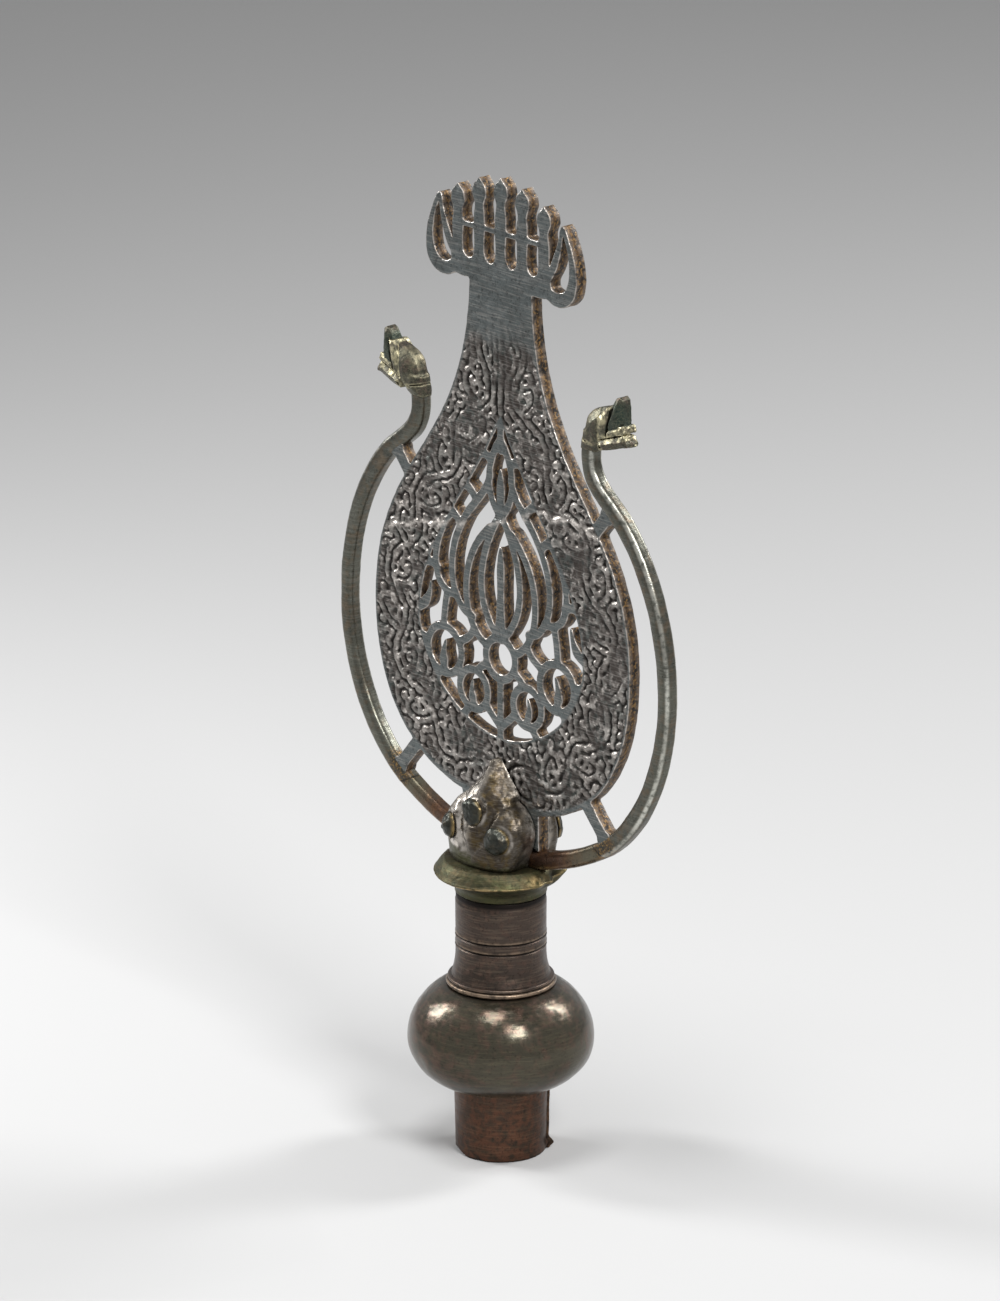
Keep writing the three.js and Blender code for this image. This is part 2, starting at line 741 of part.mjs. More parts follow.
// One dome of the shell, made smaller by the inset, with its flat back at y = back.
function dome(inset, back, deepest) {
  const columns = 14;
  const least = 1;
  const positions = [];
  const index = [];
  const rows = SHELL_ROWS.filter(([, w, d]) => (
    inset === 0 || (w * CLASP_HALF > inset + least && d * deepest > inset + least)
  ));
  rows.forEach(([h, w, d], row) => {
    const half = CLASP_HALF * w - inset;
    const depth = deepest * d - inset;
    const z = CLASP_Z + Math.max(CLASP_HEIGHT * h, row === 0 ? inset : 0);
    for (let i = 0; i <= columns; i += 1) {
      const angle = Math.PI * i / columns;
      const power = 2 / CLASP_ROUND;
      const x = -half * Math.sign(Math.cos(angle)) * Math.abs(Math.cos(angle)) ** power;
      const y = -SHELL_BACK - depth * Math.sin(angle) ** power;
      positions.push(x, y, z);
    }
    positions.push(half, back, z, -half, back, z);
  });
  const around = columns + 3;
  for (let row = 0; row < rows.length - 1; row += 1) {
    for (let i = 0; i < around; i += 1) {
      const a = row * around + i;
      const b = row * around + (i + 1) % around;
      index.push(a, b, b + around, a, b + around, a + around);
    }
  }
  const top = (rows.length - 1) * around;
  for (let i = 1; i < around - 1; i += 1) {
    index.push(0, i + 1, i);
    index.push(top, top + i, top + i + 1);
  }
  const geometry = new THREE.BufferGeometry();
  geometry.setAttribute('position', new THREE.Float32BufferAttribute(positions, 3));
  geometry.setIndex(index);
  return solid(geometry);
}

// Crown of the front shell at (x, rise), and the direction straight out of it there.
function crown(x, rise, deepest) {
  const step = 1;
  const depth = (dx, dz) => shellDepth(x + dx, rise + dz, deepest);
  const slopeX = (depth(step, 0) - depth(-step, 0)) / (2 * step);
  const slopeZ = (depth(0, step) - depth(0, -step)) / (2 * step);
  return {
    point: new THREE.Vector3(x, -SHELL_BACK - depth(0, 0), CLASP_Z + rise),
    out: new THREE.Vector3(-slopeX, -1, -slopeZ).normalize(),
  };
}

function claspShell(deepest) {
  const behind = -SHELL_BACK + OVERCUT;
  const shell = dome(0, -SHELL_BACK, deepest).subtract(dome(CLASP_WALL, behind, deepest));
  const seats = studPlaces(deepest).map(({ point, out }) => {
    const seat = point.clone().addScaledVector(out, -STUD_SINK);
    const bore = seat.clone().addScaledVector(out, -deepest);
    return pin(seat, out, STUD_R + GAP, 2 * STUD_RISE, STUD_STEPS)
      .add(pin(bore, out, SHANK_R + GAP, deepest + OVERCUT));
  });
  const { stub } = hoopParts(GAP);
  return shell
    .subtract(join(seats))
    .subtract(stub)
    .subtract(stub.mirror([1, 0, 0]));
}

// Studs and rivet

function studPlaces(deepest) {
  const top = crown(0, TOP_RIVET_UP, deepest);
  top.out.set(0, -1, 0);
  const side = (x) => crown(x, SIDE_STUD_UP, deepest);
  return [top, side(-SIDE_STUD_OUT), side(SIDE_STUD_OUT)];
}

// A domed head: the profile rises from the seat to the crown in a quarter of an ellipse.
function studHead({ point, out }) {
  const base = STUD_SINK - GAP;
  const profile = [[0, -base], [STUD_R, -base], [STUD_R, 0]];
  const quarter = arc([0, 0], 1, STUD_CROWN_FROM, 90, 5);
  quarter.forEach(([r, h]) => profile.push([STUD_R * r, STUD_RISE * h]));
  const points = profile.map(([r, h]) => new THREE.Vector2(Math.max(r, 0), h));
  points[points.length - 1].x = 0;
  const geometry = new THREE.LatheGeometry(points, STUD_STEPS);
  const turn = new THREE.Quaternion().setFromUnitVectors(new THREE.Vector3(0, 1, 0), out);
  geometry.applyQuaternion(turn);
  geometry.translate(point.x, point.y, point.z);
  return solid(geometry);
}

function sideStud(where) {
  const reach = CLASP_WALL + SHANK_END;
  const inner = where.point.clone().addScaledVector(where.out, -reach);
  return studHead(where).add(pin(inner, where.out, SHANK_R, reach));
}

function throughRivet(front, rear) {
  const shank = pin(front.point, new THREE.Vector3(0, 1, 0), SHANK_R, -front.point.y - rear.point.y);
  return join([studHead(front), studHead(rear).mirror([0, 1, 0]), shank]);
}

// Dragon head, on the +X side, turned outwards: sizes from the end of the rod

function hull(points) {
  const both = points.flatMap(([x, z, y]) => [[x, y, z], [x, -y, z]]);
  return solid(new ConvexGeometry(both.map((p) => new THREE.Vector3(...p))));
}

function headPlace([x, v]) {
  return up([HEAD_END[0] + x, HEAD_END[1] + v]);
}

function headHull(points) {
  return hull(points.map(([x, v, y]) => [...headPlace([x, v]), y]));
}

function dragonHead() {
  const skull = headHull([
    [-1.4, 5, 2.6], [-0.8, 8, 3], [1, 10.8, 3.2], [3.4, 13.2, 3.2], [6.4, 15.4, 3], [9, 16.3, 3],
    [9.6, 15.8, 3.2], [9, 9.5, 4], [7.6, 4, 4], [3, 5, 4], [2.5, 9, 4.2], [5.5, 12.5, 4],
  ]);
  const neck = headHull([
    [-3.6, GAP, 2.6], [-2.4, GAP, 3.4], [2.4, GAP, 3.4], [3.6, GAP, 2.6],
    [-2.8, 5, 3], [-1.4, 6.4, 3.6], [6, 6, 3.8], [6.4, 2, 3],
  ]);
  const upperJaw = headHull([
    [8, 6, 3.8], [13.8, 6.5, 3], [16.8, 9.5, 2], [17.1, 17.4, 1.3], [16.4, 19.6, 1.2],
    [15.2, 20.6, 1.2], [13.6, 19.8, 1.4], [11, 15, 2.6], [9, 11, 3.2],
  ]);
  const cheek = headHull([
    [7.8, 5.6, 4.2], [6.3, 9.2, 4.6], [6.9, 12, 4.4], [8.8, 14.9, 3.7], [10.9, 16.7, 3.2],
    [12.9, 16.6, 3], [12.6, 13.6, 3.4], [11.3, 9.6, 3.9], [9.8, 6, 4.2],
  ]);
  const lowerJaw = headHull([
    [5, 2, 3.8], [6.4, 1, 3.4], [12, 2.2, 3.6], [19.4, 4.6, 2.2], [19, 6, 2.4], [17, 7.8, 2.6],
    [6.4, 5, 4.2],
  ]);
  const lip = headHull([
    [6.6, 4.6, 4.2], [17.6, 8, 2.4], [18.2, 9.2, 2.2], [17.2, 10.8, 2], [14.6, 10.4, 2.8],
    [6.8, 7.2, 4.2],
  ]);
  const [bx, bz] = headPlace([0, 0]);
  const bore = pin(
    new THREE.Vector3(bx, 0, bz - OVERCUT),
    new THREE.Vector3(0, 0, 1),
    TENON_R + GAP,
    OVERCUT + TENON_LENGTH + GAP,
  );
  return join([skull, neck, upperJaw, cheek, lowerJaw, lip]).subtract(bore);
}

// The rod's end is square to its path, so a level cut lets the head sit flat on it.
function arm() {
  const [x, z] = up(HEAD_END);
  const size = 4 * ROD;
  const levelled = hoopParts(0).arm
    .subtract(scarfCutter(-1))
    .subtract(block(x - size, x + size, -size, size, z, z + size));
  const tenon = pin(
    new THREE.Vector3(x, 0, z - TENON_ROOT),
    new THREE.Vector3(0, 0, 1),
    TENON_R,
    TENON_ROOT + TENON_LENGTH,
  );
  return levelled.add(tenon);
}

function stub() {
  return hoopParts(0).stub.subtract(scarfCutter(1));
}

// Finishes, as the metal looks on each piece

const SHEET_BRASS = { color: '#4a3a2f', roughness: 0.42 };
const OLIVE_BRASS = { color: '#4b452f', roughness: 0.32 };
const CAST_GREY = { color: '#5a5650', roughness: 0.5 };
const COPPERY = { color: '#6b4534', roughness: 0.4 };
const GREEN_ROD = { color: '#6a6a4f', roughness: 0.35 };

place('socket_tube', socketTube(), SHEET_BRASS, pieces);
place('bulb', bulb(), OLIVE_BRASS, pieces);
place('neck_tube', neckTube(), SHEET_BRASS, pieces);
place('flange_collar', flangeCollar(), OLIVE_BRASS, pieces);

place('front_clasp', claspShell(FRONT_DEPTH), CAST_GREY);
place('rear_clasp', claspShell(REAR_DEPTH).mirror([0, 1, 0]), CAST_GREY);

const [frontTop, frontLeft, frontRight] = studPlaces(FRONT_DEPTH);
const [rearTop, rearLeft, rearRight] = studPlaces(REAR_DEPTH);
place('through_rivet', throughRivet(frontTop, rearTop), CAST_GREY);
place('front_left_stud', sideStud(frontLeft), CAST_GREY);
place('front_right_stud', sideStud(frontRight), CAST_GREY);
place('rear_left_stud', sideStud(rearLeft).mirror([0, 1, 0]), CAST_GREY);
place('rear_right_stud', sideStud(rearRight).mirror([0, 1, 0]), CAST_GREY);

place('blade', blade(), CAST_GREY);

place('right_stub', stub(), COPPERY);
place('left_stub', stub().mirror([1, 0, 0]), COPPERY);
place('right_arm', arm(), GREEN_ROD);
place('left_arm', arm().mirror([1, 0, 0]), GREEN_ROD);
place('right_dragon_head', dragonHead(), GREEN_ROD);
place('left_dragon_head', dragonHead().mirror([1, 0, 0]), GREEN_ROD);

export default pieces;
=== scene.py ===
"""The finial of a processional standard, dressed round its packed construction.

Every new surface is worked out with numpy in millimetres, on the sizes of the construction,
and put into its mesh in metres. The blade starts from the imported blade's own outline, the
shaft's pieces are turned profiles, the hoop is a rod carried along its centre line, and the
dragon heads are blended solids drawn as a net over a field of distances.
"""

import logging
import math
from dataclasses import dataclass, field
from enum import Enum
from functools import partial
from typing import ClassVar

import bpy
import numpy as np
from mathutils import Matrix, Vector
from mathutils.geometry import delaunay_2d_cdt


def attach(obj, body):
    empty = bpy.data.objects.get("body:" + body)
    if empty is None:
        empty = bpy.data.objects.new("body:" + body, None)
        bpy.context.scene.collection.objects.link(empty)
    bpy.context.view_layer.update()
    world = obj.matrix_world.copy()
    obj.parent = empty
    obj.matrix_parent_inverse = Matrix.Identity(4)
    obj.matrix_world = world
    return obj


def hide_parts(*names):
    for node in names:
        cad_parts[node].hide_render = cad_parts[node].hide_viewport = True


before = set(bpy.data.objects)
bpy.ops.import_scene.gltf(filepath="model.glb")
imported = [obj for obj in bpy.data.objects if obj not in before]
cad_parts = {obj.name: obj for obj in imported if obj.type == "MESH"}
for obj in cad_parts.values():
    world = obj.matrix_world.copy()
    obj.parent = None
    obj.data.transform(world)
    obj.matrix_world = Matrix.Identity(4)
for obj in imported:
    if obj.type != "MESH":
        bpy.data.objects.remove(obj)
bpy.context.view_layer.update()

MM = 0.001
PHOTO_SIZE = (1000, 1301)
BODY = "root"
log = logging.getLogger("finial")


# Noise and curves


def lattice_noise(points: np.ndarray, cell: float, seed: int) -> np.ndarray:
    """Smooth noise from -1 to 1, the same at every run.

    Each corner of a cubic lattice has a number hashed from its whole coordinates, and a point
    takes the mean of its cell's eight corners, weighted by 3t^2 - 2t^3 along each axis.

    Args:
        points: Places in millimetres, one per row.
        cell: Lattice spacing in millimetres.
        seed: Picks the set of numbers.

    Returns:
        One value per point.
    """
    places = points / cell
    corner = np.floor(places).astype(np.int64)
    share = places - corner
    share = share * share * (3 - 2 * share)
    total = np.zeros(len(points))
    for bits in np.ndindex(2, 2, 2):
        step = np.array(bits)
        key = (corner + step) @ np.array([374761393, 668265263, 1442695041]) + seed * 144665
        key = (key ^ (key >> 13)) * 1274126177 & 0xFFFFFFFF
        key = (key ^ (key >> 15)) * 2246822519 & 0xFFFFFFFF
        value = (key ^ (key >> 16)) / 2**31 - 1
        total += value * np.where(step, share, 1 - share).prod(axis=1)
    return total


def rough_noise(points: np.ndarray, cell: float, seed: int, octaves: int = 3) -> np.ndarray:
    """Sum of lattice noises, each with half the spacing and half the height of the last.

    Args:
        points: Places in millimetres, one per row.
        cell: Spacing of the coarsest noise.
        seed: Picks the set of numbers.
        octaves: How many noises are summed.

    Returns:
        One value per point, about -1.5 to 1.5.
    """
    return sum(
        lattice_noise(points, cell / 2**i, seed + i) / 2**i for i in range(octaves)
    )


def waves(points: np.ndarray, *layers: tuple[float, float, int]) -> np.ndarray:
    """A sum of rough noises, each given by its height, its coarsest spacing and its seed."""
    return sum(height * rough_noise(points, cell, seed) for height, cell, seed in layers)


def smooth_step(low: float, high: float, value: np.ndarray) -> np.ndarray:
    """0 below low, 1 above high, and 3t^2 - 2t^3 between them."""
    t = np.clip((value - low) / (high - low), 0, 1)
    return t * t * (3 - 2 * t)


def hump(value: np.ndarray, centre: float, width: float) -> np.ndarray:
    """1 at the centre, falling off as e to the minus square of the distance in widths."""
    return np.exp(-(((value - centre) / width) ** 2))


def unit(vectors: np.ndarray) -> np.ndarray:
    """Vectors over their own lengths, one per row."""
    return vectors / np.maximum(np.linalg.norm(vectors, axis=-1, keepdims=True), 1e-12)


def directions(line: np.ndarray) -> tuple[np.ndarray, np.ndarray]:
    """Unit directions along a flat line, and to the left of it."""
    along = unit(np.gradient(line, axis=0))
    return along, np.stack([-along[:, 1], along[:, 0]], axis=1)


def spatial(points: np.ndarray) -> np.ndarray:
    """Flat places with a third coordinate of 0, as the noises want them."""
    return np.pad(points, ((0, 0), (0, 1)))


def bezier(*handles: tuple[float, ...], steps: int) -> np.ndarray:
    """Points of a cubic curve: the four handles weighted by the terms of ((1 - t) + t)^3."""
    t = np.linspace(0, 1, steps + 1)[:, None]
    terms = ((1 - t) ** 3, 3 * (1 - t) ** 2 * t, 3 * (1 - t) * t**2, t**3)
    return sum(term * np.asarray(h, float) for term, h in zip(terms, handles))


def chain(*runs: np.ndarray) -> np.ndarray:
    """Runs of points end to end, without a point that repeats the one before it."""
    points = np.concatenate([np.atleast_2d(np.asarray(run, float)) for run in runs])
    fresh = np.linalg.norm(np.diff(points, axis=0), axis=1) > 1e-6
    return points[np.concatenate([[True], fresh])]


def spread(counts: np.ndarray) -> tuple[np.ndarray, np.ndarray]:
    """Numbers the parts of runs that follow each other.

    Args:
        counts: How many parts each run has.

    Returns:
        For each part its run, and the share of the run that lies before it.
    """
    run = np.repeat(np.arange(len(counts)), counts)
    first = np.repeat(np.cumsum(counts) - counts, counts)
    return run, (np.arange(len(run)) - first) / counts[run]


def batches(count: int, size: int) -> list[np.ndarray]:
    """The numbers up to a count in parts of about a size, so that big tables fit in memory."""
    return np.array_split(np.arange(count), max(count // size, 1))


def hermite(
    t: np.ndarray, start: np.ndarray, leaving: np.ndarray, end: np.ndarray, arriving: np.ndarray
) -> np.ndarray:
    """A cubic through two ends with a slope at each.

    It is (1 + 2t)(1 - t)^2 of the start, t^2 (3 - 2t) of the end, t (1 - t)^2 of the slope
    that leaves and t^2 (t - 1) of the slope that arrives.

    Args:
        t: Share of the way, as an array.
        start, end: Values at the ends.
        leaving, arriving: Slopes there, per whole way.

    Returns:
        The values on the way.
    """
    back = (1 - t) ** 2
    ends = (1 + 2 * t) * back * start + t**2 * (3 - 2 * t) * end
    return ends + t * back * leaving + t**2 * (t - 1) * arriving


def densified(points: np.ndarray, step: float) -> np.ndarray:
    """The points of a line with others put between them.

    Args:
        points: The line's own points.
        step: The greatest distance between two points.

    Returns:
        All points in order.
    """
    ahead = np.linalg.norm(np.diff(points, axis=0), axis=1)
    run, share = spread(np.maximum(np.ceil(ahead / step).astype(int), 1))
    inner = points[run] + share[:, None] * (points[run + 1] - points[run])
    return np.vstack([inner, points[-1]])


def evenly(points: np.ndarray, step: float, closed: bool = False) -> np.ndarray:
    """Points at equal distances along a line.

    Args:
        points: The line's own points.
        step: Wanted distance between the new points.
        closed: Whether the line goes back from its last point to its first.

    Returns:
        The new points, without a repeated first point on a closed line.
    """
    line = np.vstack([points, points[:1]]) if closed else points
    along = np.concatenate([[0], np.cumsum(np.linalg.norm(np.diff(line, axis=0), axis=1))])
    count = max(int(round(along[-1] / step)), 3)
    places = np.linspace(0, along[-1], count + 1)
    new = np.stack([np.interp(places, along, axis) for axis in line.T], axis=1)
    return new[:-1] if closed else new


def through(places: np.ndarray, known: list[float], values: list[float]) -> np.ndarray:
    """A smooth curve of cubics whose slopes are those across the neighbours.

    Args:
        places: Where the curve is wanted.
        known: Where its values are known, in rising order.
        values: The known values.

    Returns:
        The curve's values.
    """
    x, y = np.asarray(known, float), np.asarray(values, float)
    i = np.clip(np.searchsorted(x, places, side="right") - 1, 0, len(x) - 2)
    width = x[i + 1] - x[i]
    slope = np.gradient(y, x)
    t = np.clip((places - x[i]) / width, 0, 1)
    return hermite(t, y[i], width * slope[i], y[i + 1], width * slope[i + 1])


def blurred(values: np.ndarray, reach: float) -> np.ndarray:
    """Values round a closed loop after a Gaussian blur.

    Args:
        values: The values in order, one per row.
        reach: The blur's standard deviation, in steps of the loop.

    Returns:
        The blurred values.
    """
    half = int(3 * reach) + 1
    weights = np.exp(-0.5 * (np.arange(-half, half + 1) / reach) ** 2)
    weights /= weights.sum()
    return sum(w * np.roll(values, k - half, axis=0) for k, w in enumerate(weights))


# Surfaces


def grid_faces(rows: int, cols: int, wrap_rows: bool, wrap_cols: bool) -> np.ndarray:
    """Quads of a grid of points, row by row.

    Args:
        rows, cols: Size of the grid.
        wrap_rows, wrap_cols: Whether its last row or column joins its first.

    Returns:
        Four point numbers per quad.
    """
    i, j = np.meshgrid(
        np.arange(rows if wrap_rows else rows - 1),
        np.arange(cols if wrap_cols else cols - 1),
        indexing="ij",
    )
    down, right = (i + 1) % rows, (j + 1) % cols
    corners = (i * cols + j, i * cols + right, down * cols + right, down * cols + j)
    return np.stack([c.ravel() for c in corners], axis=1)


def linked(name: str, data: bpy.types.ID) -> bpy.types.Object:
    """A new object of the scene."""
    made = bpy.data.objects.new(name, data)
    bpy.context.scene.collection.objects.link(made)
    return made


@dataclass
class Surface:
    """A closed surface in millimetres.

    Attributes:
        points: One place per row.
        faces: Arrays of point numbers, each array with faces of one size.
        marks: Values per point that the finish reads, such as wear.
    """

    points: np.ndarray
    faces: list[np.ndarray]
    marks: dict[str, np.ndarray] = field(default_factory=dict)

    def normals(self) -> np.ndarray:
        """Unit sum of the cross products of the faces round each point.

        Returns:
            The direction out of the surface at each point.
        """
        total = np.zeros_like(self.points)
        for faces in self.faces:
            p = self.points[faces]
            across = np.cross(p[:, 1] - p[:, 0], p[:, -1] - p[:, 0])
            if faces.shape[1] == 4:
                across += np.cross(p[:, 3] - p[:, 2], p[:, 1] - p[:, 2])
            for column in faces.T:
                np.add.at(total, column, across)
        return unit(total)

    def facing_out(self) -> "Surface":
        """Turns the faces so that the volume inside them counts as positive.

        Returns:
            The same surface.
        """
        volume = 0.0
        for faces in self.faces:
            p = self.points[faces]
            for k in range(1, faces.shape[1] - 1):
                volume += np.einsum("ij,ij->", p[:, 0], np.cross(p[:, k], p[:, k + 1]))
        if volume < 0:
            self.faces = [faces[:, ::-1] for faces in self.faces]
        return self

    def pushed(self, depth: np.ndarray) -> "Surface":
        """The surface with each point moved out along its normal by a depth."""
        self.points = self.points + self.normals() * depth[:, None]
        return self

    def mirrored(self, axis: int) -> "Surface":
        """The mirror image across an axis, with its faces still pointing out."""
        points = self.points.copy()
        points[:, axis] *= -1
        return Surface(points, [f[:, ::-1] for f in self.faces], dict(self.marks))

    def moved(self, by: tuple[float, float, float]) -> "Surface":
        """The surface moved as a whole."""
        return Surface(self.points + np.array(by), self.faces, dict(self.marks))

    def piece(self, name: str, finish: "Finish", slot: str, *nodes: str) -> bpy.types.Object:
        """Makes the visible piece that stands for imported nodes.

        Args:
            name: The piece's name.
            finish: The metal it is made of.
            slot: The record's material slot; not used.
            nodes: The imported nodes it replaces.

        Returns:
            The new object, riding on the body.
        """
        mesh = bpy.data.meshes.new(name)
        loops = np.concatenate([faces.ravel() for faces in self.faces])
        sizes = np.concatenate([np.full(len(f), f.shape[1]) for f in self.faces])
        mesh.vertices.add(len(self.points))
        mesh.vertices.foreach_set("co", (self.points * MM).astype(np.float32).ravel())
        mesh.loops.add(len(loops))
        mesh.loops.foreach_set("vertex_index", loops.astype(np.int32))
        mesh.polygons.add(len(sizes))
        mesh.polygons.foreach_set("loop_start", (np.cumsum(sizes) - sizes).astype(np.int32))
        mesh.update(calc_edges=True)
        mesh.validate()
        for mark, values in self.marks.items():
            layer = mesh.attributes.new(mark, "FLOAT", "POINT")
            layer.data.foreach_set("value", values.astype(np.float32))
        mesh.shade_smooth()
        mesh.set_sharp_from_angle(angle=math.radians(finish.sharp_deg))
        mesh.materials.append(finish.material())
        made = linked(name, mesh)
        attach(made, BODY)
        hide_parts(*nodes)
        triangles = int((sizes - 2).sum())
        log.info("%s stands for %s with %d triangles", name, ", ".join(nodes), triangles)
        return made


def turned(profile: np.ndarray, steps: int) -> Surface:
    """A body turned about the Z axis.

    The point at step i and profile place j lies at (r cos a, r sin a, z), where r and z are
    the profile's and a is i / steps of a full turn.

    Args:
        profile: Closed run of radius and height round the section.
        steps: How many places round the axis.

    Returns:
        The closed surface.
    """
    angle = np.linspace(0, 2 * np.pi, steps, endpoint=False)[:, None]
    r, z = profile[:, 0], profile[:, 1]
    grid = np.stack([r * np.cos(angle), r * np.sin(angle), z + 0 * angle], axis=2)
    faces = grid_faces(steps, len(profile), True, True)
    return Surface(grid.reshape(-1, 3), [faces]).facing_out()


def capped(rings: np.ndarray) -> Surface:
    """A closed surface through rings of points, with a fan of triangles over each end.

    Args:
        rings: Places, as rings by points of a ring by three.

    Returns:
        The closed surface, whose last two points are the middles of the ends.
    """
    rows, cols = rings.shape[:2]
    start, end = rows * cols, rows * cols + 1
    around = np.arange(cols)
    last = (rows - 1) * cols
    fans = np.vstack([
        np.stack([np.full(cols, start), (around + 1) % cols, around], axis=1),
        np.stack([np.full(cols, end), last + around, last + (around + 1) % cols], axis=1),
    ])
    points = np.vstack([rings.reshape(-1, 3), rings[0].mean(axis=0), rings[-1].mean(axis=0)])
    return Surface(points, [grid_faces(rows, cols, False, True), fans]).facing_out()


def net_over(distance: np.ndarray, origin: np.ndarray, cell: float) -> Surface:
    """The surface where a field of distances is zero.

    Each cell of the field that the surface passes through has one point, the mean of the
    places where the surface cuts the cell's twelve edges, and each cut edge of the grid
    joins the points of its four cells with a quad.

    Args:
        distance: Field values on a grid, negative inside the body.
        origin: Place of the grid's first corner.
        cell: Grid spacing.

    Returns:
        The closed surface.
    """
    size = np.array(distance.shape) - 1
    at = {
        corner: distance[tuple(slice(c, c + n) for c, n in zip(corner, size))]
        for corner in np.ndindex(2, 2, 2)
    }
    inside = sum((values < 0).astype(int) for values in at.values())
    active = (inside > 0) & (inside < len(at))
    number = np.full(active.shape, -1)
    number[active] = np.arange(active.sum())
    total, cuts = np.zeros((active.sum(), 3)), np.zeros(active.sum())
    for corner in at:
        for axis in np.flatnonzero(np.array(corner) == 0):
            step = np.eye(3, dtype=int)[axis]
            va, vb = at[corner][active], at[tuple(corner + step)][active]
            crosses = (va < 0) != (vb < 0)
            share = np.where(crosses, va / np.where(crosses, va - vb, 1), 0)
            total += crosses[:, None] * (corner + share[:, None] * step)
            cuts += crosses
    places = np.argwhere(active) + total / cuts[:, None]
    quads = []
    for axis in range(3):
        others = [k for k in range(3) if k != axis]
        near = [slice(1, -1)] * 3
        far = list(near)
        near[axis], far[axis] = slice(0, -1), slice(1, None)
        low, high = distance[tuple(near)] < 0, distance[tuple(far)] < 0
        base = np.argwhere(low != high)
        ring = []
        for ahead in ((0, 0), (1, 0), (1, 1), (0, 1)):
            cells = base.copy()
            cells[:, others] += ahead
            ring.append(number[tuple(cells.T)])
        faces = np.stack(ring, axis=1)
        turn = low[low != high] == (axis == 1)
        faces[turn] = faces[turn][:, ::-1]
        quads.append(faces)
    return Surface(np.asarray(origin) + places * cell, [np.vstack(quads)]).facing_out()


# Finishes


def linear(code: str) -> tuple[float, float, float, float]:
    """The linear colour of an sRGB hex code such as '#4a3a2f'."""
    parts = [int(code[i:i + 2], 16) / 255 for i in (1, 3, 5)]
    flat = [c / 12.92 if c <= 0.04045 else ((c + 0.055) / 1.055) ** 2.4 for c in parts]
    return (*flat, 1.0)


def add_node(
    tree: bpy.types.NodeTree, kind: str, inputs: dict[int | str, object],
    output: int | str = 0, **settings: object,
) -> bpy.types.NodeSocket | None:
    """Adds a node to a tree, with its settings and links.

    Args:
        tree: The node tree.
        kind: The node's type name, without its first word ShaderNode.
        inputs: Values or other nodes' outputs, by socket name or number.
        output: The output that is wanted, by name or number.
        settings: The node's own properties.

    Returns:
        That output, or nothing where the node has none.
    """
    node = tree.nodes.new("ShaderNode" + kind)
    for name, value in settings.items():
        setattr(node, name, value)
    for key, value in inputs.items():
        if isinstance(value, bpy.types.NodeSocket):
            tree.links.new(value, node.inputs[key])
        else:
            node.inputs[key].default_value = value
    return node.outputs[output] if node.outputs else None


class Grain(Enum):
    """How the tool marks of a piece run."""

    ROUND = "round the shaft's axis, from turning and burnishing"
    SLANTED = "slanting down across the blade's face, from filing"
    LEVEL = "straight across, from draw filing"
    NONE = "no direction, as cast or hammered"


# Stretch of the pattern's space along X, Y and Z, in multiples of the mark's width, and its turn
# about Y in degrees. A mark is long where its space is squeezed.
GRAIN_SPACE = {
    Grain.ROUND: ((0.06, 0.06, 1.0), 0.0),
    Grain.SLANTED: ((0.04, 0.3, 1.0), 24.0),
    Grain.LEVEL: ((0.05, 0.05, 1.0), 0.0),
    Grain.NONE: ((1.0, 1.0, 1.0), 0.0),
}
PIT_SPACING = 1.6  # From pit to pit, in multiples of a pit's size.
MOTTLE_DEEP = 0.06  # Height of the finer mottling, in millimetres.


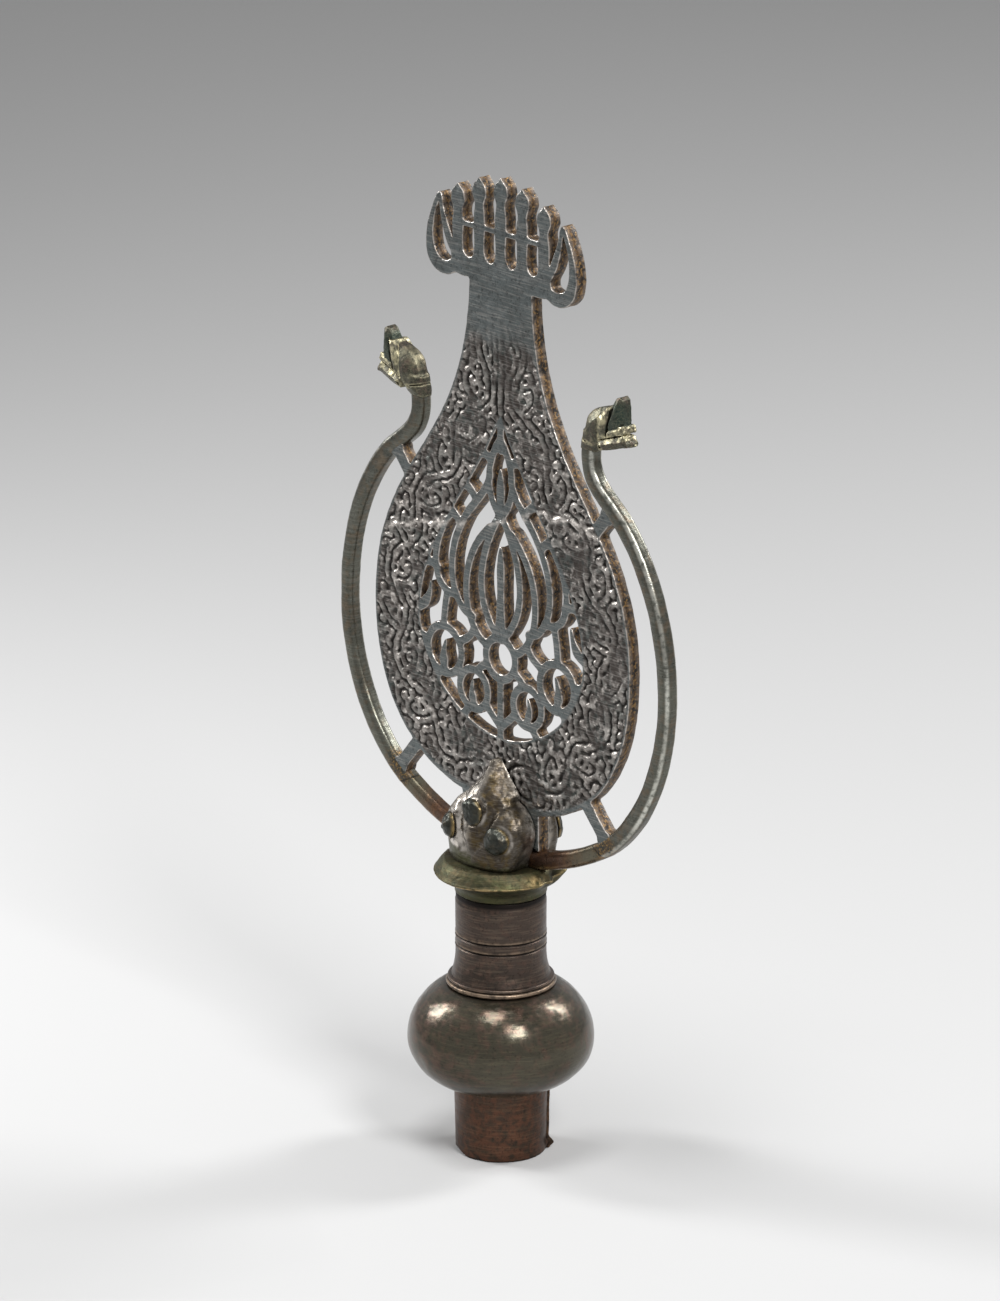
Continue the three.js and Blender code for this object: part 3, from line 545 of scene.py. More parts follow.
@dataclass(frozen=True)
class Finish:
    """Old brass under a brown patina, as handling and weather have left it.

    The metal's own colour shows where it is worn, and the patina's dark browns, greens and
    reds lie over the rest in clouds, so that the eye sees a dark metal with warm edges.
    Hollows, bores and inner faces take the crevice colour as painted shade, and some
    arrises take the bright colour as painted highlights.

    Attributes:
        name: The finish's name.
        body: Colour of most of the surface.
        shade: Colour of the darker clouds.
        stain: Colour of the patches that differ, such as verdigris or copper red.
        bright: Colour of worn high places, and of the painted highlights on some arrises.
        crevice: Colour of the pits and of the ground of sawn walls, and the painted shade of sunk
            places.
        rough: Roughness of the smoothest and the dullest places.
        stain_cover: Share of the surface that the patches take, 0 to 1.
        cloud_mm: Size of the clouds.
        mottle_mm: Size of the finer mottling and of the patches' ragged edges.
        pit_mm: Size of the casting's or hammer's fine pits. Real sand grain is two or three
            times finer, and is drawn this coarse so that it shows.
        pit_deep: Depth of the pits, in millimetres.
        grain: Direction of the tool marks.
        mark_mm: Width of a tool mark. A real file cuts about 0.2 mm wide, which wouldn't show.
        mark_deep: Depth of the tool marks, in millimetres.
        scored: How much the tool marks lighten the metal, 0 to 1.
        sharp_deg: Faces that meet at more than this are left as an arris.
        wall, gilt: Colours of sawn walls, and of the golden specks on them.
        plain: Colour of flat filed faces.
        bare: How much of the surface is bare metal, 0 to 1.
    """

    name: str
    body: str
    shade: str
    stain: str
    bright: str
    crevice: str
    rough: tuple[float, float]
    stain_cover: float = 0.3
    cloud_mm: float = 14.0
    mottle_mm: float = 2.2
    pit_mm: float = 0.5
    pit_deep: float = 0.03
    grain: Grain = Grain.NONE
    mark_mm: float = 0.35
    mark_deep: float = 0.02
    scored: float = 0.15
    sharp_deg: float = 50.0
    wall: str = "#4b3418"
    gilt: str = "#8a6836"
    plain: str = "#626b6d"
    bare: float = 0.85

    def material(self) -> bpy.types.Material:
        """The finish's material, made once and then shared.

        Its colour is laid on in layers, each over those before it by its own share: clouds,
        stains, filed faces, tool marks, pits, sawn walls, painted shade in hollows, and worn
        places with some painted highlights.

        Returns:
            The material.
        """
        known = bpy.data.materials.get(self.name)
        if known:
            return known
        made = bpy.data.materials.new(self.name)
        made.use_nodes = True
        made.node_tree.nodes.clear()
        add = partial(add_node, made.node_tree)
        space = add("TexCoord", {}, "Object")
        stretch, turn = GRAIN_SPACE[self.grain]
        slant = (0, math.radians(turn), 0)
        along = add("Mapping", {"Vector": space, "Rotation": slant, "Scale": stretch})
        cloud, mottle, speck, marks = (
            add("TexNoise", {"Vector": where, "Scale": 1 / (size * MM), "Detail": detail})
            for where, size, detail in (
                (space, self.cloud_mm, 3.0), (space, self.mottle_mm, 4.0),
                (space, PIT_SPACING * self.pit_mm, 2.0), (along, self.mark_mm, 2.0),
            )
        )
        # The sunk mark lays painted shade on hollows, bores and inner faces; the wear mark holds
        # real wear and, on some arrises, painted highlights.
        plain, wall, sunk, wear_and_glint = (
            add("Attribute", {}, "Fac", attribute_name=mark)
            for mark in ("plain", "wall", "sunk", "wear_and_glint")
        )
        ragged = add("Math", {0: cloud, 1: 0.6, 2: mottle}, operation="MULTIPLY_ADD")
        edge = 0.98 - 0.36 * self.stain_cover
        # Each is 0 below its first number and 1 above its second.
        clouds, stained, scores, solid, streaks, specks, uneven = (
            add("MapRange", {0: value, 1: low, 2: high}, interpolation_type="SMOOTHSTEP")
            for value, low, high in (
                (cloud, 0.34, 0.7), (ragged, edge - 0.14, edge + 0.2), (marks, 0.46, 0.66),
                (speck, 0.3, 0.44), (mottle, 0.36, 0.6), (speck, 0.5, 0.66),
                (mottle, 0.25, 0.6),
            )
        )
        clear, scored, pores = (
            add("Math", {0: value, 1: factor, 2: rest}, operation="MULTIPLY_ADD")
            for value, factor, rest in (
                (clouds, -0.3, 1.0), (scores, self.scored, 0.0), (solid, -0.4, 0.4),
            )
        )
        steely, rubbed = (
            add("Math", {0: mark, 1: broken}, operation="MULTIPLY")
            for mark, broken in ((plain, clear), (wear_and_glint, uneven))
        )
        sawn = linear(self.crevice)
        for share, code in ((streaks, self.wall), (specks, self.gilt)):
            sawn = add("Mix", {0: share, 6: sawn, 7: linear(code)}, 2, data_type="RGBA")
        colour = linear(self.body)
        for share, layer in (
            (clouds, linear(self.shade)), (stained, linear(self.stain)),
            (steely, linear(self.plain)), (scored, linear(self.bright)),
            # sunk lays the crevice colour as painted shade; rubbed lays the bright colour on worn
            # places and on painted highlights.
            (pores, linear(self.crevice)), (wall, sawn), (sunk, linear(self.crevice)),
            (rubbed, linear(self.bright)),
        ):
            colour = add("Mix", {0: share, 6: colour, 7: layer}, 2, data_type="RGBA")
        rough = add("MapRange", {0: mottle, 1: 0.3, 2: 0.7, 3: self.rough[0], 4: self.rough[1]})
        for mark, duller in ((sunk, 0.25), (wall, 0.15), (rubbed, -0.1)):
            rough = add("Math", {0: mark, 1: duller, 2: rough}, operation="MULTIPLY_ADD")
        metal = self.bare
        for mark, barer in ((rubbed, 1 - self.bare), (wall, -0.3)):
            metal = add("Math", {0: mark, 1: barer, 2: metal}, operation="MULTIPLY_ADD")
        normal = {}
        for height, deep in (
            (mottle, MOTTLE_DEEP), (speck, self.pit_deep), (marks, self.mark_deep)
        ):
            bump = {"Height": height, "Distance": deep * MM, "Strength": 1.0, **normal}
            normal = {"Normal": add("Bump", bump)}
        look = {"Base Color": colour, "Metallic": metal, "Roughness": rough, **normal}
        add("OutputMaterial", {"Surface": add("BsdfPrincipled", look)})
        return made


# Rolled sheet, hard-soldered up a lapped seam: reddish brown, duller than the turned parts.
SOCKET_SHEET = Finish(
    "rolled_sheet_brass", "#47382f", "#332e27", "#5c3f31", "#8a6d54", "#14100d",
    (0.32, 0.46), stain_cover=0.5, cloud_mm=18, grain=Grain.ROUND, mark_mm=0.5, mark_deep=0.02,
)
# Raised from sheet and burnished: a deep olive brown that mirrors lights softly.
BULB_BRASS = Finish(
    "burnished_bulb_brass", "#4a463b", "#3a372e", "#57463c", "#a09574", "#15120d",
    (0.17, 0.27), stain_cover=0.4, cloud_mm=26, grain=Grain.ROUND, mark_mm=0.4, mark_deep=0.012,
    pit_deep=0.012, mottle_mm=3.0, scored=0.08, bare=0.7,
)
# Turned on a lathe and handled: grey brown with ring marks.
NECK_SHEET = Finish(
    "turned_neck_brass", "#473d37", "#38322d", "#52423a", "#968370", "#110e0d",
    (0.30, 0.42), stain_cover=0.4, cloud_mm=20, grain=Grain.ROUND, mark_mm=0.5, mark_deep=0.02,
)
# Cast, with a turned rim: granular olive green on top, a thin golden arris at the rim.
COLLAR_BRASS = Finish(
    "cast_collar_brass", "#43442c", "#363628", "#4c4532", "#c9ae7c", "#13110c",
    (0.42, 0.58), stain_cover=0.3, cloud_mm=9, pit_mm=0.7, pit_deep=0.08, grain=Grain.ROUND,
    scored=0.05,
)
# Cast and filed: grey brown with silvery file marks and golden brown hollows.
CLASP_BRASS = Finish(
    "filed_clasp_brass", "#4a443c", "#3c342b", "#4f4229", "#cbc4bb", "#15110d",
    (0.28, 0.42), stain_cover=0.35, cloud_mm=9, pit_mm=0.7, pit_deep=0.05, grain=Grain.SLANTED,
    mark_mm=0.4, mark_deep=0.035, scored=0.07, plain="#48492f",
)
# Hammered over in place: dark grey green domes with a worn ring.
STUD_BRASS = Finish(
    "hammered_stud_brass", "#3b3d38", "#2c2d2a", "#47433a", "#b79a60", "#100f0c",
    (0.26, 0.42), stain_cover=0.2, cloud_mm=4, pit_mm=0.9, pit_deep=0.09, scored=0.0,
)
# Cast with its relief and pierced by saw and file: worn grey brown, bright on the ridges.
BLADE_BRASS = Finish(
    "cast_blade_brass", "#4e4844", "#3d3835", "#444a47", "#dcd5ce", "#15110e",
    (0.28, 0.44), stain_cover=0.35, cloud_mm=12, pit_mm=0.6, pit_deep=0.16, grain=Grain.SLANTED,
    mark_mm=0.5, mark_deep=0.03, scored=0.16, plain="#646a6a", gilt="#7c5e32",
)
# Forged short of the casting's alloy: copper brown, and still reddish where it cooled last.
STUB_BRASS = Finish(
    "forged_stub_brass", "#5c463a", "#44352c", "#684a34", "#c3a689", "#17100c",
    (0.26, 0.38), stain_cover=0.45, cloud_mm=9, pit_deep=0.03, plain="#5d5c4e",
    scored=0.05, gilt="#9a7636",
)
# Drawn rod, filed across: olive green faces with bright arrises, partly worn and partly painted
# highlights.
ARM_BRASS = Finish(
    "filed_rod_brass", "#5d5d54", "#4b4c46", "#62584a", "#e6e6dc", "#14130e",
    (0.26, 0.36), stain_cover=0.35, cloud_mm=24, grain=Grain.LEVEL, mark_mm=0.5,
    mark_deep=0.03, scored=0.05, gilt="#9a7636",
)
# Cast and cut with files and a drill: olive, worn to yellow on the high places.
HEAD_BRASS = Finish(
    "carved_head_brass", "#4e4e44", "#3b3b34", "#554a42", "#c3bb9a", "#100f0b",
    (0.4, 0.52), stain_cover=0.35, cloud_mm=5, mottle_mm=1.2, pit_deep=0.05, plain="#35423b",
)


# The shaft


@dataclass
class Shaft:
    """Socket tube, bulb, neck tube and flanged collar, turned about the Z axis.

    Radii and heights are in millimetres, and each height counts from the socket's rim.
    """

    steps: int = 256
    fine: float = 0.45
    coarse: float = 1.2
    socket_foot: float = 15.5
    socket_top: float = 16.1
    socket_length: float = 25.0
    socket_in_bulb: float = 4.0
    sheet: float = 1.6
    bulb_radius: float = 31.8
    bulb_height: float = 35.0
    bulb_belly: float = 16.0
    bulb_wall: float = 1.8
    bulb_foot: float = 18.6
    bulb_head: float = 18.5
    neck_radius: float = 15.4
    neck_wall: float = 1.8
    neck_z: float = 60.3
    neck_length: float = 32.8
    neck_spigot: float = 4.0
    bead_out: float = 3.3
    line_heights: tuple[float, float] = (14.5, 18.0)
    collar_z: float = 93.4
    collar_rim: float = 22.8
    collar_rim_up: float = 7.5
    collar_top: float = 19.0
    collar_height: float = 11.8
    collar_spigot: float = 3.8
    gap: float = 0.3
    shown_deg: float = -42.0  # The side that the photograph shows.
    seam_deg: float = 42.0
    bite_deg: float = 62.0  # The torn place of the collar's rim, counted from the shown side.

    def build(self) -> None:
        """Makes the four pieces of the shaft."""
        self._socket().piece("socket", SOCKET_SHEET, "socket_sheet", "socket_tube")
        self._bulb().piece("bulb_shell", BULB_BRASS, "bulb_brass", "bulb")
        self._neck().piece("neck", NECK_SHEET, "neck_sheet", "neck_tube")
        self._collar().piece("collar", COLLAR_BRASS, "collar_brass", "flange_collar")

    def _polar(self, surface: Surface) -> tuple[np.ndarray, np.ndarray, np.ndarray]:
        """Each point's angle from the shown side in degrees, its radius and its height."""
        x, y, z = surface.points.T
        return self._away(np.degrees(np.arctan2(y, x)), self.shown_deg), np.hypot(x, y), z.copy()

    @staticmethod
    def _away(angle: np.ndarray, centre: float) -> np.ndarray:
        """Signed angle from a centre, from -180 to 180 degrees."""
        return (angle - centre + 180) % 360 - 180

    def _socket(self) -> Surface:
        """A rolled tube with a lapped seam, a lug at its foot and a chipped lower rim.

        Returns:
            The tube.
        """
        top = self.socket_length + self.socket_in_bulb
        foot, head = self.socket_foot, self.socket_top
        inner_foot = foot - self.sheet
        outline = chain(
            [(foot - 0.35, 0), (foot - 0.05, 0.35), (head, self.socket_length), (head, top)],
            [(head - self.sheet, top), (inner_foot, 0.3), (inner_foot + 0.3, 0)],
        )
        tube = turned(densified(outline, self.fine)[:-1], self.steps)
        side, radius, z = self._polar(tube)
        outside = radius > foot - self.sheet / 2
        seam = self._away(side, self.seam_deg - self.shown_deg)
        past = seam + 1.6 * rough_noise(tube.points * [0, 0, 1], 3.0, 11)
        lap = 0.75 * np.where(past > 0, np.exp(-np.maximum(past, 0) / 24), 0)
        lap = lap * (z < self.socket_length - 0.2)
        groove = -0.55 * hump(past, -1.2, 1.3) * (z < self.socket_length)
        lug = 1.9 * hump(seam, 2, 4.5) * hump(z, 2.2, 1.5)
        wave = waves(tube.points, (0.12, 9.0, 5), (0.03, 1.6, 8))
        tube.pushed(wave * (1 + outside) / 2 + (lap + groove + lug) * outside)
        chip = 1.3 * hump(side, -72, 15) + 0.8 * hump(side, 150, 20)
        nick = np.maximum(0.9 * rough_noise(tube.points * [1, 1, 0], 4.5, 21) - 0.35, 0)
        lifted = tube.points[:, 2] + hump(z, 0, 1.4) * (chip + nick)
        tube.points[:, 2] = np.maximum(lifted, 0)
        # Painted shade inside the tube and along its foot on the floor, with a dark line in the
        # seam's groove.
        sunk = ~outside - 2 * groove * outside + 0.8 * smooth_step(0.8, 0.1, z)
        tube.marks["sunk"] = np.clip(sunk, 0, 1)
        tube.marks["wear_and_glint"] = 0.7 * hump(past, 3, 2.5) * outside
        return tube

    def _bulb_line(self, inset: float) -> np.ndarray:
        """The bulb's onion section from foot to head, as two cubics that meet at its belly.

        Args:
            inset: How far the section is moved in.

        Returns:
            Radius and height of its points.
        """
        z0 = self.socket_length
        belly, top = z0 + self.bulb_belly, z0 + self.bulb_height
        r = self.bulb_radius - inset
        foot, head = self.bulb_foot - inset, self.bulb_head - inset
        return chain(
            bezier((foot, z0), (foot + 6.5, z0 + 2), (r, belly - 8), (r, belly), steps=60),
            bezier((r, belly), (r, belly + 9), (head + 6.5, top - 2), (head, top), steps=60),
        )

    def _bulb(self) -> Surface:
        """A raised onion bulb with a lip at its foot, shallow dents and pits.

        Returns:
            The bulb.
        """
        z0, foot = self.socket_length, self.bulb_foot
        top = z0 + self.bulb_height
        low, high = z0 + self.socket_in_bulb, top - self.neck_spigot
        outer, inner = self._bulb_line(0), self._bulb_line(self.bulb_wall)
        inner = inner[(inner[:, 1] > low) & (inner[:, 1] < high)][::-3]
        mouth, upper = self.socket_top + self.gap, self.neck_radius + self.gap
        under = z0 - 0.1
        lip = [(mouth, z0 + 0.3), (mouth + 0.2, under), (foot - 0.7, under), (foot, z0 + 0.35)]
        outline = chain(
            bezier(*lip, steps=8),
            densified(evenly(outer[outer[:, 1] > z0 + 0.45], 0.6), 0.6),
            [(upper, top), (upper, high)],
            inner,
            [(mouth, low)],
        )
        bulb = turned(densified(outline, self.coarse), self.steps)
        side, radius, z = self._polar(bulb)
        outside = radius > upper + 1.2
        dents = np.zeros(len(z))
        # Angle from the shown side, height, size and depth of each dent.
        for turn, height, size, deep in (
            (8, 35, 1.3, 0.3), (-30, 52, 2.6, 0.12), (24, 30, 4.0, 0.16), (-62, 37, 3.0, 0.22),
            (40, 44, 1.2, 0.12), (95, 40, 5.0, 0.25), (170, 46, 4.0, 0.3), (-140, 34, 5.0, 0.3),
        ):
            arc = np.radians(self._away(side, turn)) * radius
            dents -= deep * hump(arc, 0, size) * hump(z, height, size)
        shoulder = smooth_step(46, 56, z)
        hammer = 0.06 * shoulder * rough_noise(bulb.points * [1, 1, 2.5], 3.0, 31)
        wave = waves(bulb.points, (0.16, 17.0, 3), (0.02, 2.5, 4))
        room = smooth_step(0, 1.5, self.bulb_radius + 0.02 - radius)
        bulb.pushed(((wave + hammer) * (0.25 + 0.75 * room) + dents) * outside)
        reach = np.hypot(bulb.points[:, 0], bulb.points[:, 1])
        bulb.points[:, :2] *= np.minimum(1, self.bulb_radius / reach)[:, None]
        # Painted shade under the lip at the foot, and round the top where the neck goes in.
        sunk = (z < z0 + 0.2) + 0.5 * smooth_step(top - 1.6, top, z)
        bulb.marks["sunk"] = np.clip(sunk, 0, 1)
        bulb.marks["wear_and_glint"] = 0.25 * smooth_step(24.5, 26.5, z) * smooth_step(29, 27, z)
        return bulb

    def _neck(self) -> Surface:
        """A turned tube: a double bead with bright edges, a flare, and two incised lines.

        Returns:
            The tube.
        """
        z0, r = self.neck_z, self.neck_radius
        bead, foot = r + self.bead_out, z0 + 3.2
        top, bore = z0 + self.neck_length, r - self.neck_wall
        line_half, lip = 0.32, 0.14
        # An incised line with a raised lip on each side, by its height.
        lines = [
            [
                (r, z - 0.9), (r + lip, z - 0.5), (r, z - line_half), (r - 0.4, z),
                (r, z + line_half), (r + lip, z + 0.55), (r + lip, z + 0.9), (r, z + 1.2),
            ]
            for z in (z0 + up for up in self.line_heights)
        ]
        lower, upper = (
            [
                (out + 0.55 * math.sin(a), up - tall * math.cos(a))
                for a in np.linspace(start, math.pi - short, 9)
            ]
            for out, up, tall, start, short in (
                (bead - 0.55, z0 + 0.8, 0.75, 0.1, 0.35), (bead - 1.15, z0 + 2.35, 0.7, 0.45, 0.2)
            )
        )
        flare = [(r + 1.5, foot), (r + 0.9, foot + 2), (r + 0.05, foot + 4.5), (r, foot + 8.5)]
        outline = chain(
            [(r, z0), (bead - 0.8, z0)], lower, upper, bezier(*flare, steps=12), *lines,
            [(r, top - 2.6), (r - 0.25, top - 2.3), (r - 0.1, top - 0.3), (r - 0.3, top)],
            [(bore, top), (bore, z0 - self.neck_spigot), (r, z0 - self.neck_spigot)],
        )
        neck = turned(densified(outline, self.coarse), self.steps)
        side, radius, z = self._polar(neck)
        outside = (radius > r - 1) & (z > z0)
        wave = waves(neck.points, (0.1, 13.0, 41), (0.02, 2.0, 42))
        dent = -0.35 * hump(side, 8, 14) * hump(z, z0 + 8, 3.5)
        neck.pushed((wave + dent) * outside)
        beads = smooth_step(foot, foot - 0.5, z) * smooth_step(bead - 0.9, bead - 0.1, radius)
        lips = sum(hump(z, z0 + up + 0.8, 0.3) for up in self.line_heights)
        cuts = sum(hump(z, z0 + up, 0.3) for up in self.line_heights)
        groove = hump(z, z0 + 1.65, 0.25) + smooth_step(top - 2.4, top - 1.8, z)
        neck.marks["wear_and_glint"] = np.clip(0.8 * beads + 0.7 * lips * outside, 0, 1)
        # Painted shade in the incised lines, between the beads, on the top end under the collar and
        # in the bore.
        neck.marks["sunk"] = np.clip((cuts + 0.9 * groove) * outside + (radius < r - 1), 0, 1)
        return neck

    def _collar(self) -> Surface:
        """A flanged collar: a cyma under a thin worn rim, a granular top and a torn bite.

        Returns:
            The collar.
        """
        z0, r, rim = self.collar_z, self.neck_radius, self.collar_rim
        rim_z, top = z0 + self.collar_rim_up, z0 + self.collar_height
        low = z0 - self.collar_spigot
        spigot = r - self.neck_wall - self.gap
        bore, slot_r = spigot - 2, 13.5
        cyma = [
            (r + 0.3, z0 + 1.2), (r + 1.3, z0 + 4.4), (rim - 3.6, rim_z - 3.2),
            (rim - 0.25, rim_z - 0.3),
        ]
        lip = [
            (rim - 0.05, rim_z - 0.05), (rim, rim_z + 0.1), (rim - 0.05, rim_z + 0.3),
            (rim - 0.4, rim_z + 0.45),
        ]
        slope = [
            (rim - 0.5, rim_z + 0.55), (rim - 1.2, rim_z + 1.5), (rim - 2.1, top - 1.0),
            (self.collar_top, top),
        ]
        outline = chain(
            [(spigot, low), (spigot, z0), (r - 0.2, z0), (r + 0.25, z0 + 0.35)],
            bezier(*cyma, steps=22), bezier(*lip, steps=5), bezier(*slope, steps=18),
            [(slot_r, top), (slot_r, z0 + 3.7), (bore, z0 + 3.5), (bore, low)],
        )
        collar = turned(densified(outline, self.fine * 1.6), self.steps)
        side, radius, z = self._polar(collar)
        outside = (radius > r - 0.4) & (z > z0)
        topside = smooth_step(rim_z + 0.1, rim_z + 0.7, z)
        wave = 0.09 * rough_noise(collar.points, 9.0, 51)
        grains = topside * 0.08 * rough_noise(collar.points, 0.9, 52)
        collar.pushed((wave + grains) * outside * smooth_step(rim + 0.4, rim - 1.2, radius))
        edge = smooth_step(rim - 3.4, rim - 0.2, radius)
        bite = hump(side, self.bite_deg, 9) + 0.35 * hump(side, self.bite_deg - 18, 5)
        ragged = 0.22 * rough_noise(collar.points * [1, 1, 0], 2.6, 53)
        pull = edge * (2.6 * bite + ragged)
        collar.points[:, :2] *= (1 - np.maximum(pull, 0) / np.maximum(radius, 1))[:, None]
        bent = edge * (1.7 * hump(side, self.bite_deg + 20, 10) - 0.5 * hump(side, -60, 40))
        collar.points[:, 2] += bent
        arris = hump(z, rim_z + bent + 0.05, 0.3) * (radius > rim - 0.9)
        tip = edge * hump(side, self.bite_deg + 22, 9)
        scraped = topside * hump(side, 34, 9) * smooth_step(19.5, 21.5, radius)
        left = 0.3 + 0.7 * smooth_step(20, -40, side)
        collar.marks["wear_and_glint"] = np.clip(arris * left + 0.8 * tip + 0.5 * scraped, 0, 1)
        # The slot for the clasp's foot is darkened as painted shade, and the torn place is darkened
        # too.
        torn = edge * hump(side, self.bite_deg, 9) * topside
        collar.marks["sunk"] = np.clip(0.9 * (torn + (radius < slot_r + 0.2)), 0, 1)
        return collar


# The clasp and its studs


@dataclass
class Clasp:
    """Two trefoil shells that grip the blade's foot, five domed heads and their shanks."""

    foot_z: float = 105.5
    height: float = 35.0
    half: float = 20.0
    front_depth: float = 14.3
    rear_depth: float = 10.5
    wall: float = 2.4
    round_power: float = 2.3
    back: float = 2.7
    set_back: float = 2.0
    stud_r: float = 4.7
    stud_rise: float = 2.5
    stud_sink: float = 0.4
    shank_r: float = 1.8
    stud_out: float = 11.7
    stud_up: float = 10.9
    rivet_up: float = 18.7
    rows: int = 110
    cols: int = 120

    # Heights of the outline's known places, and its half width and depth there, as shares.
    levels: ClassVar = [0, 0.1, 0.22, 0.34, 0.45, 0.55, 0.63, 0.68, 0.76, 0.85, 0.93, 1]
    widths: ClassVar = [0.88, 0.93, 0.98, 0.99, 0.93, 0.79, 0.63, 0.55, 0.41, 0.26, 0.14, 0.04]
    depths: ClassVar = [1.0, 1.0, 1, 0.97, 0.91, 0.82, 0.72, 0.65, 0.53, 0.41, 0.31, 0.22]
    # The rim's own half widths, below the cusp and above it.
    lobe: ClassVar = (
        [0, 0.1, 0.22, 0.34, 0.45, 0.55, 0.6, 0.625],
        [0.72, 0.77, 0.85, 0.9, 0.86, 0.72, 0.6, 0.5],
    )
    ogee: ClassVar = ([0.625, 0.68, 0.76, 0.85, 0.93, 1], [0.5, 0.51, 0.41, 0.26, 0.14, 0.04])

    def build(self) -> None:
        """Makes the shells, the four side studs and the through rivet."""
        for name, deepest, flip in (
            ("front", self.front_depth, False),
            ("rear", self.rear_depth, True),
        ):
            shell = self._shell(deepest)
            self._placed(shell, flip).piece(
                f"{name}_clasp_shell", CLASP_BRASS, "clasp_brass", f"{name}_clasp"
            )
            for side, x in (("left", -self.stud_out), ("right", self.stud_out)):
                stud = self._stud(x, self.stud_up, deepest, seed=int(60 + x + deepest))
                self._placed(stud, flip).piece(
                    f"{name}_{side}_stud_head", STUD_BRASS, "stud_brass", f"{name}_{side}_stud"
                )
        self._rivet().piece("rivet", STUD_BRASS, "stud_brass", "through_rivet")

    def _placed(self, surface: Surface, flip: bool) -> Surface:
        """A piece drawn for the front, on its own face of the blade."""
        turned_round = surface.mirrored(1) if flip else surface
        return turned_round.moved((0, self.set_back, 0))

    def _depth(self, x: np.ndarray, rise: np.ndarray, deepest: float) -> np.ndarray:
        """How far the plain dome stands out of its back at a place of its face.

        The section at each height is |x / half|^n + |y / depth|^n = 1.

        Args:
            x: Distance to the side.
            rise: Height above the clasp's foot.
            deepest: Depth of the shell.

        Returns:
            The depth y.
        """
        share = np.clip(rise / self.height, 0, 1)
        half = self.half * np.interp(share, self.levels, self.widths)
        depth = deepest * np.interp(share, self.levels, self.depths)
        inside = np.clip(1 - np.abs(x / half) ** self.round_power, 0, 1)
        return depth * inside ** (1 / self.round_power)

    def _crown(self, x: float, rise: float, deepest: float) -> tuple[np.ndarray, np.ndarray]:
        """A place on the dome and the direction straight out of it there.

        Args:
            x: Distance to the side.
            rise: Height above the clasp's foot.
            deepest: Depth of the shell.

        Returns:
            The place and the unit direction.
        """
        step = np.array([[1, 0], [-1, 0], [0, 1], [0, -1]])
        d = self._depth(x + step[:, 0], rise + step[:, 1], deepest)
        out = np.array([-(d[0] - d[1]) / 2, -1, -(d[2] - d[3]) / 2])
        here = self._depth(np.array([x]), np.array([rise]), deepest)[0]
        return np.array([x, -self.back - here, self.foot_z + rise]), unit(out)

    def _valley(self, x: np.ndarray, rise: np.ndarray) -> np.ndarray:
        """Depth of the two valleys that part the upper leaf from the side lobes.

        Args:
            x: Distance to the side, as an array of the shell's rows and columns.
            rise: Height above the clasp's foot.

        Returns:
            The depth, fading down each valley's line.
        """
        line = evenly(np.array([(13.5, 24), (8.2, 20.5), (6.6, 15), (4.6, 9), (0, 3.5)]), 0.6)
        valley = 0.0
        for sign in (-1, 1):
            away = np.hypot(x[..., None] * sign - line[:, 0], rise[..., None] - line[:, 1])
            fade = 2.3 - 1.3 * away.argmin(axis=2) / len(line)
            valley = np.maximum(valley, fade * hump(away.min(axis=2), 0, 1.8))
        return valley

    def _shell(self, deepest: float) -> Surface:
        """One trefoil shell, hollow behind.

        A row at height v runs from edge to edge over the dome and back along the inner wall:
        x = -w cos(a)^p and y = -back - d sin(a)^p, with w and d the outline's half width and
        depth at v. The section turns from a full round below to a keel at the tip.

        Args:
            deepest: Depth of the shell.

        Returns:
            The shell with its marks, on the front face of the blade.
        """
        share = np.linspace(0, 1, self.rows) ** 0.92
        depth = deepest * through(share, self.levels, self.depths)[:, None]
        angle = np.linspace(0, np.pi, self.cols)
        c, s = np.cos(angle), np.maximum(np.sin(angle), 0)
        edge = 1 - smooth_step(0.1, 0.75, s)
        even = through(share, self.levels, self.widths)
        half = self.half * (even[:, None] + edge * (self._outline(share) - even)[:, None])
        power = 2 / (self.round_power - 1.2 * smooth_step(0.52, 0.9, share))[:, None]
        across, out = -np.sign(c) * np.abs(c) ** power, s**power
        x, y = half * across, -self.back - depth * out
        rise = self.height * share[:, None] + 0 * x
        keel = 0.7 * smooth_step(0.55, 0.8, share)[:, None] * hump(x, 0, 0.7)
        y = y + (self._valley(x, rise) - keel) * s**0.5
        z = self.foot_z + rise
        thin = np.minimum(self.wall, 0.45 * half)
        inner_y = -self.back - np.maximum(depth - self.wall, 0.35 * depth) * out
        inner = np.stack([(half - thin) * across, inner_y, z], axis=2)[:, ::-1]
        ring = np.concatenate([np.stack([x, y, z], axis=2), inner], axis=1)
        count = ring.shape[1]
        j = np.arange(self.cols - 1)
        foot = np.stack([j, j + 1, count - 2 - j, count - 1 - j], axis=1)
        top = foot + (self.rows - 1) * count
        faces = [grid_faces(self.rows, count, False, True), foot, top[:, ::-1]]
        shell = Surface(ring.reshape(-1, 3), faces).facing_out()
        outside = np.tile(np.arange(count) < self.cols, self.rows)
        rim = np.concatenate([1 - smooth_step(0, 0.35, s), 0 * s])
        hollow = np.concatenate([0 * s, smooth_step(0, 0.5, s[::-1])])
        self._finish_shell(shell, deepest, outside, *(np.tile(v, self.rows) for v in (rim, hollow)))
        return shell

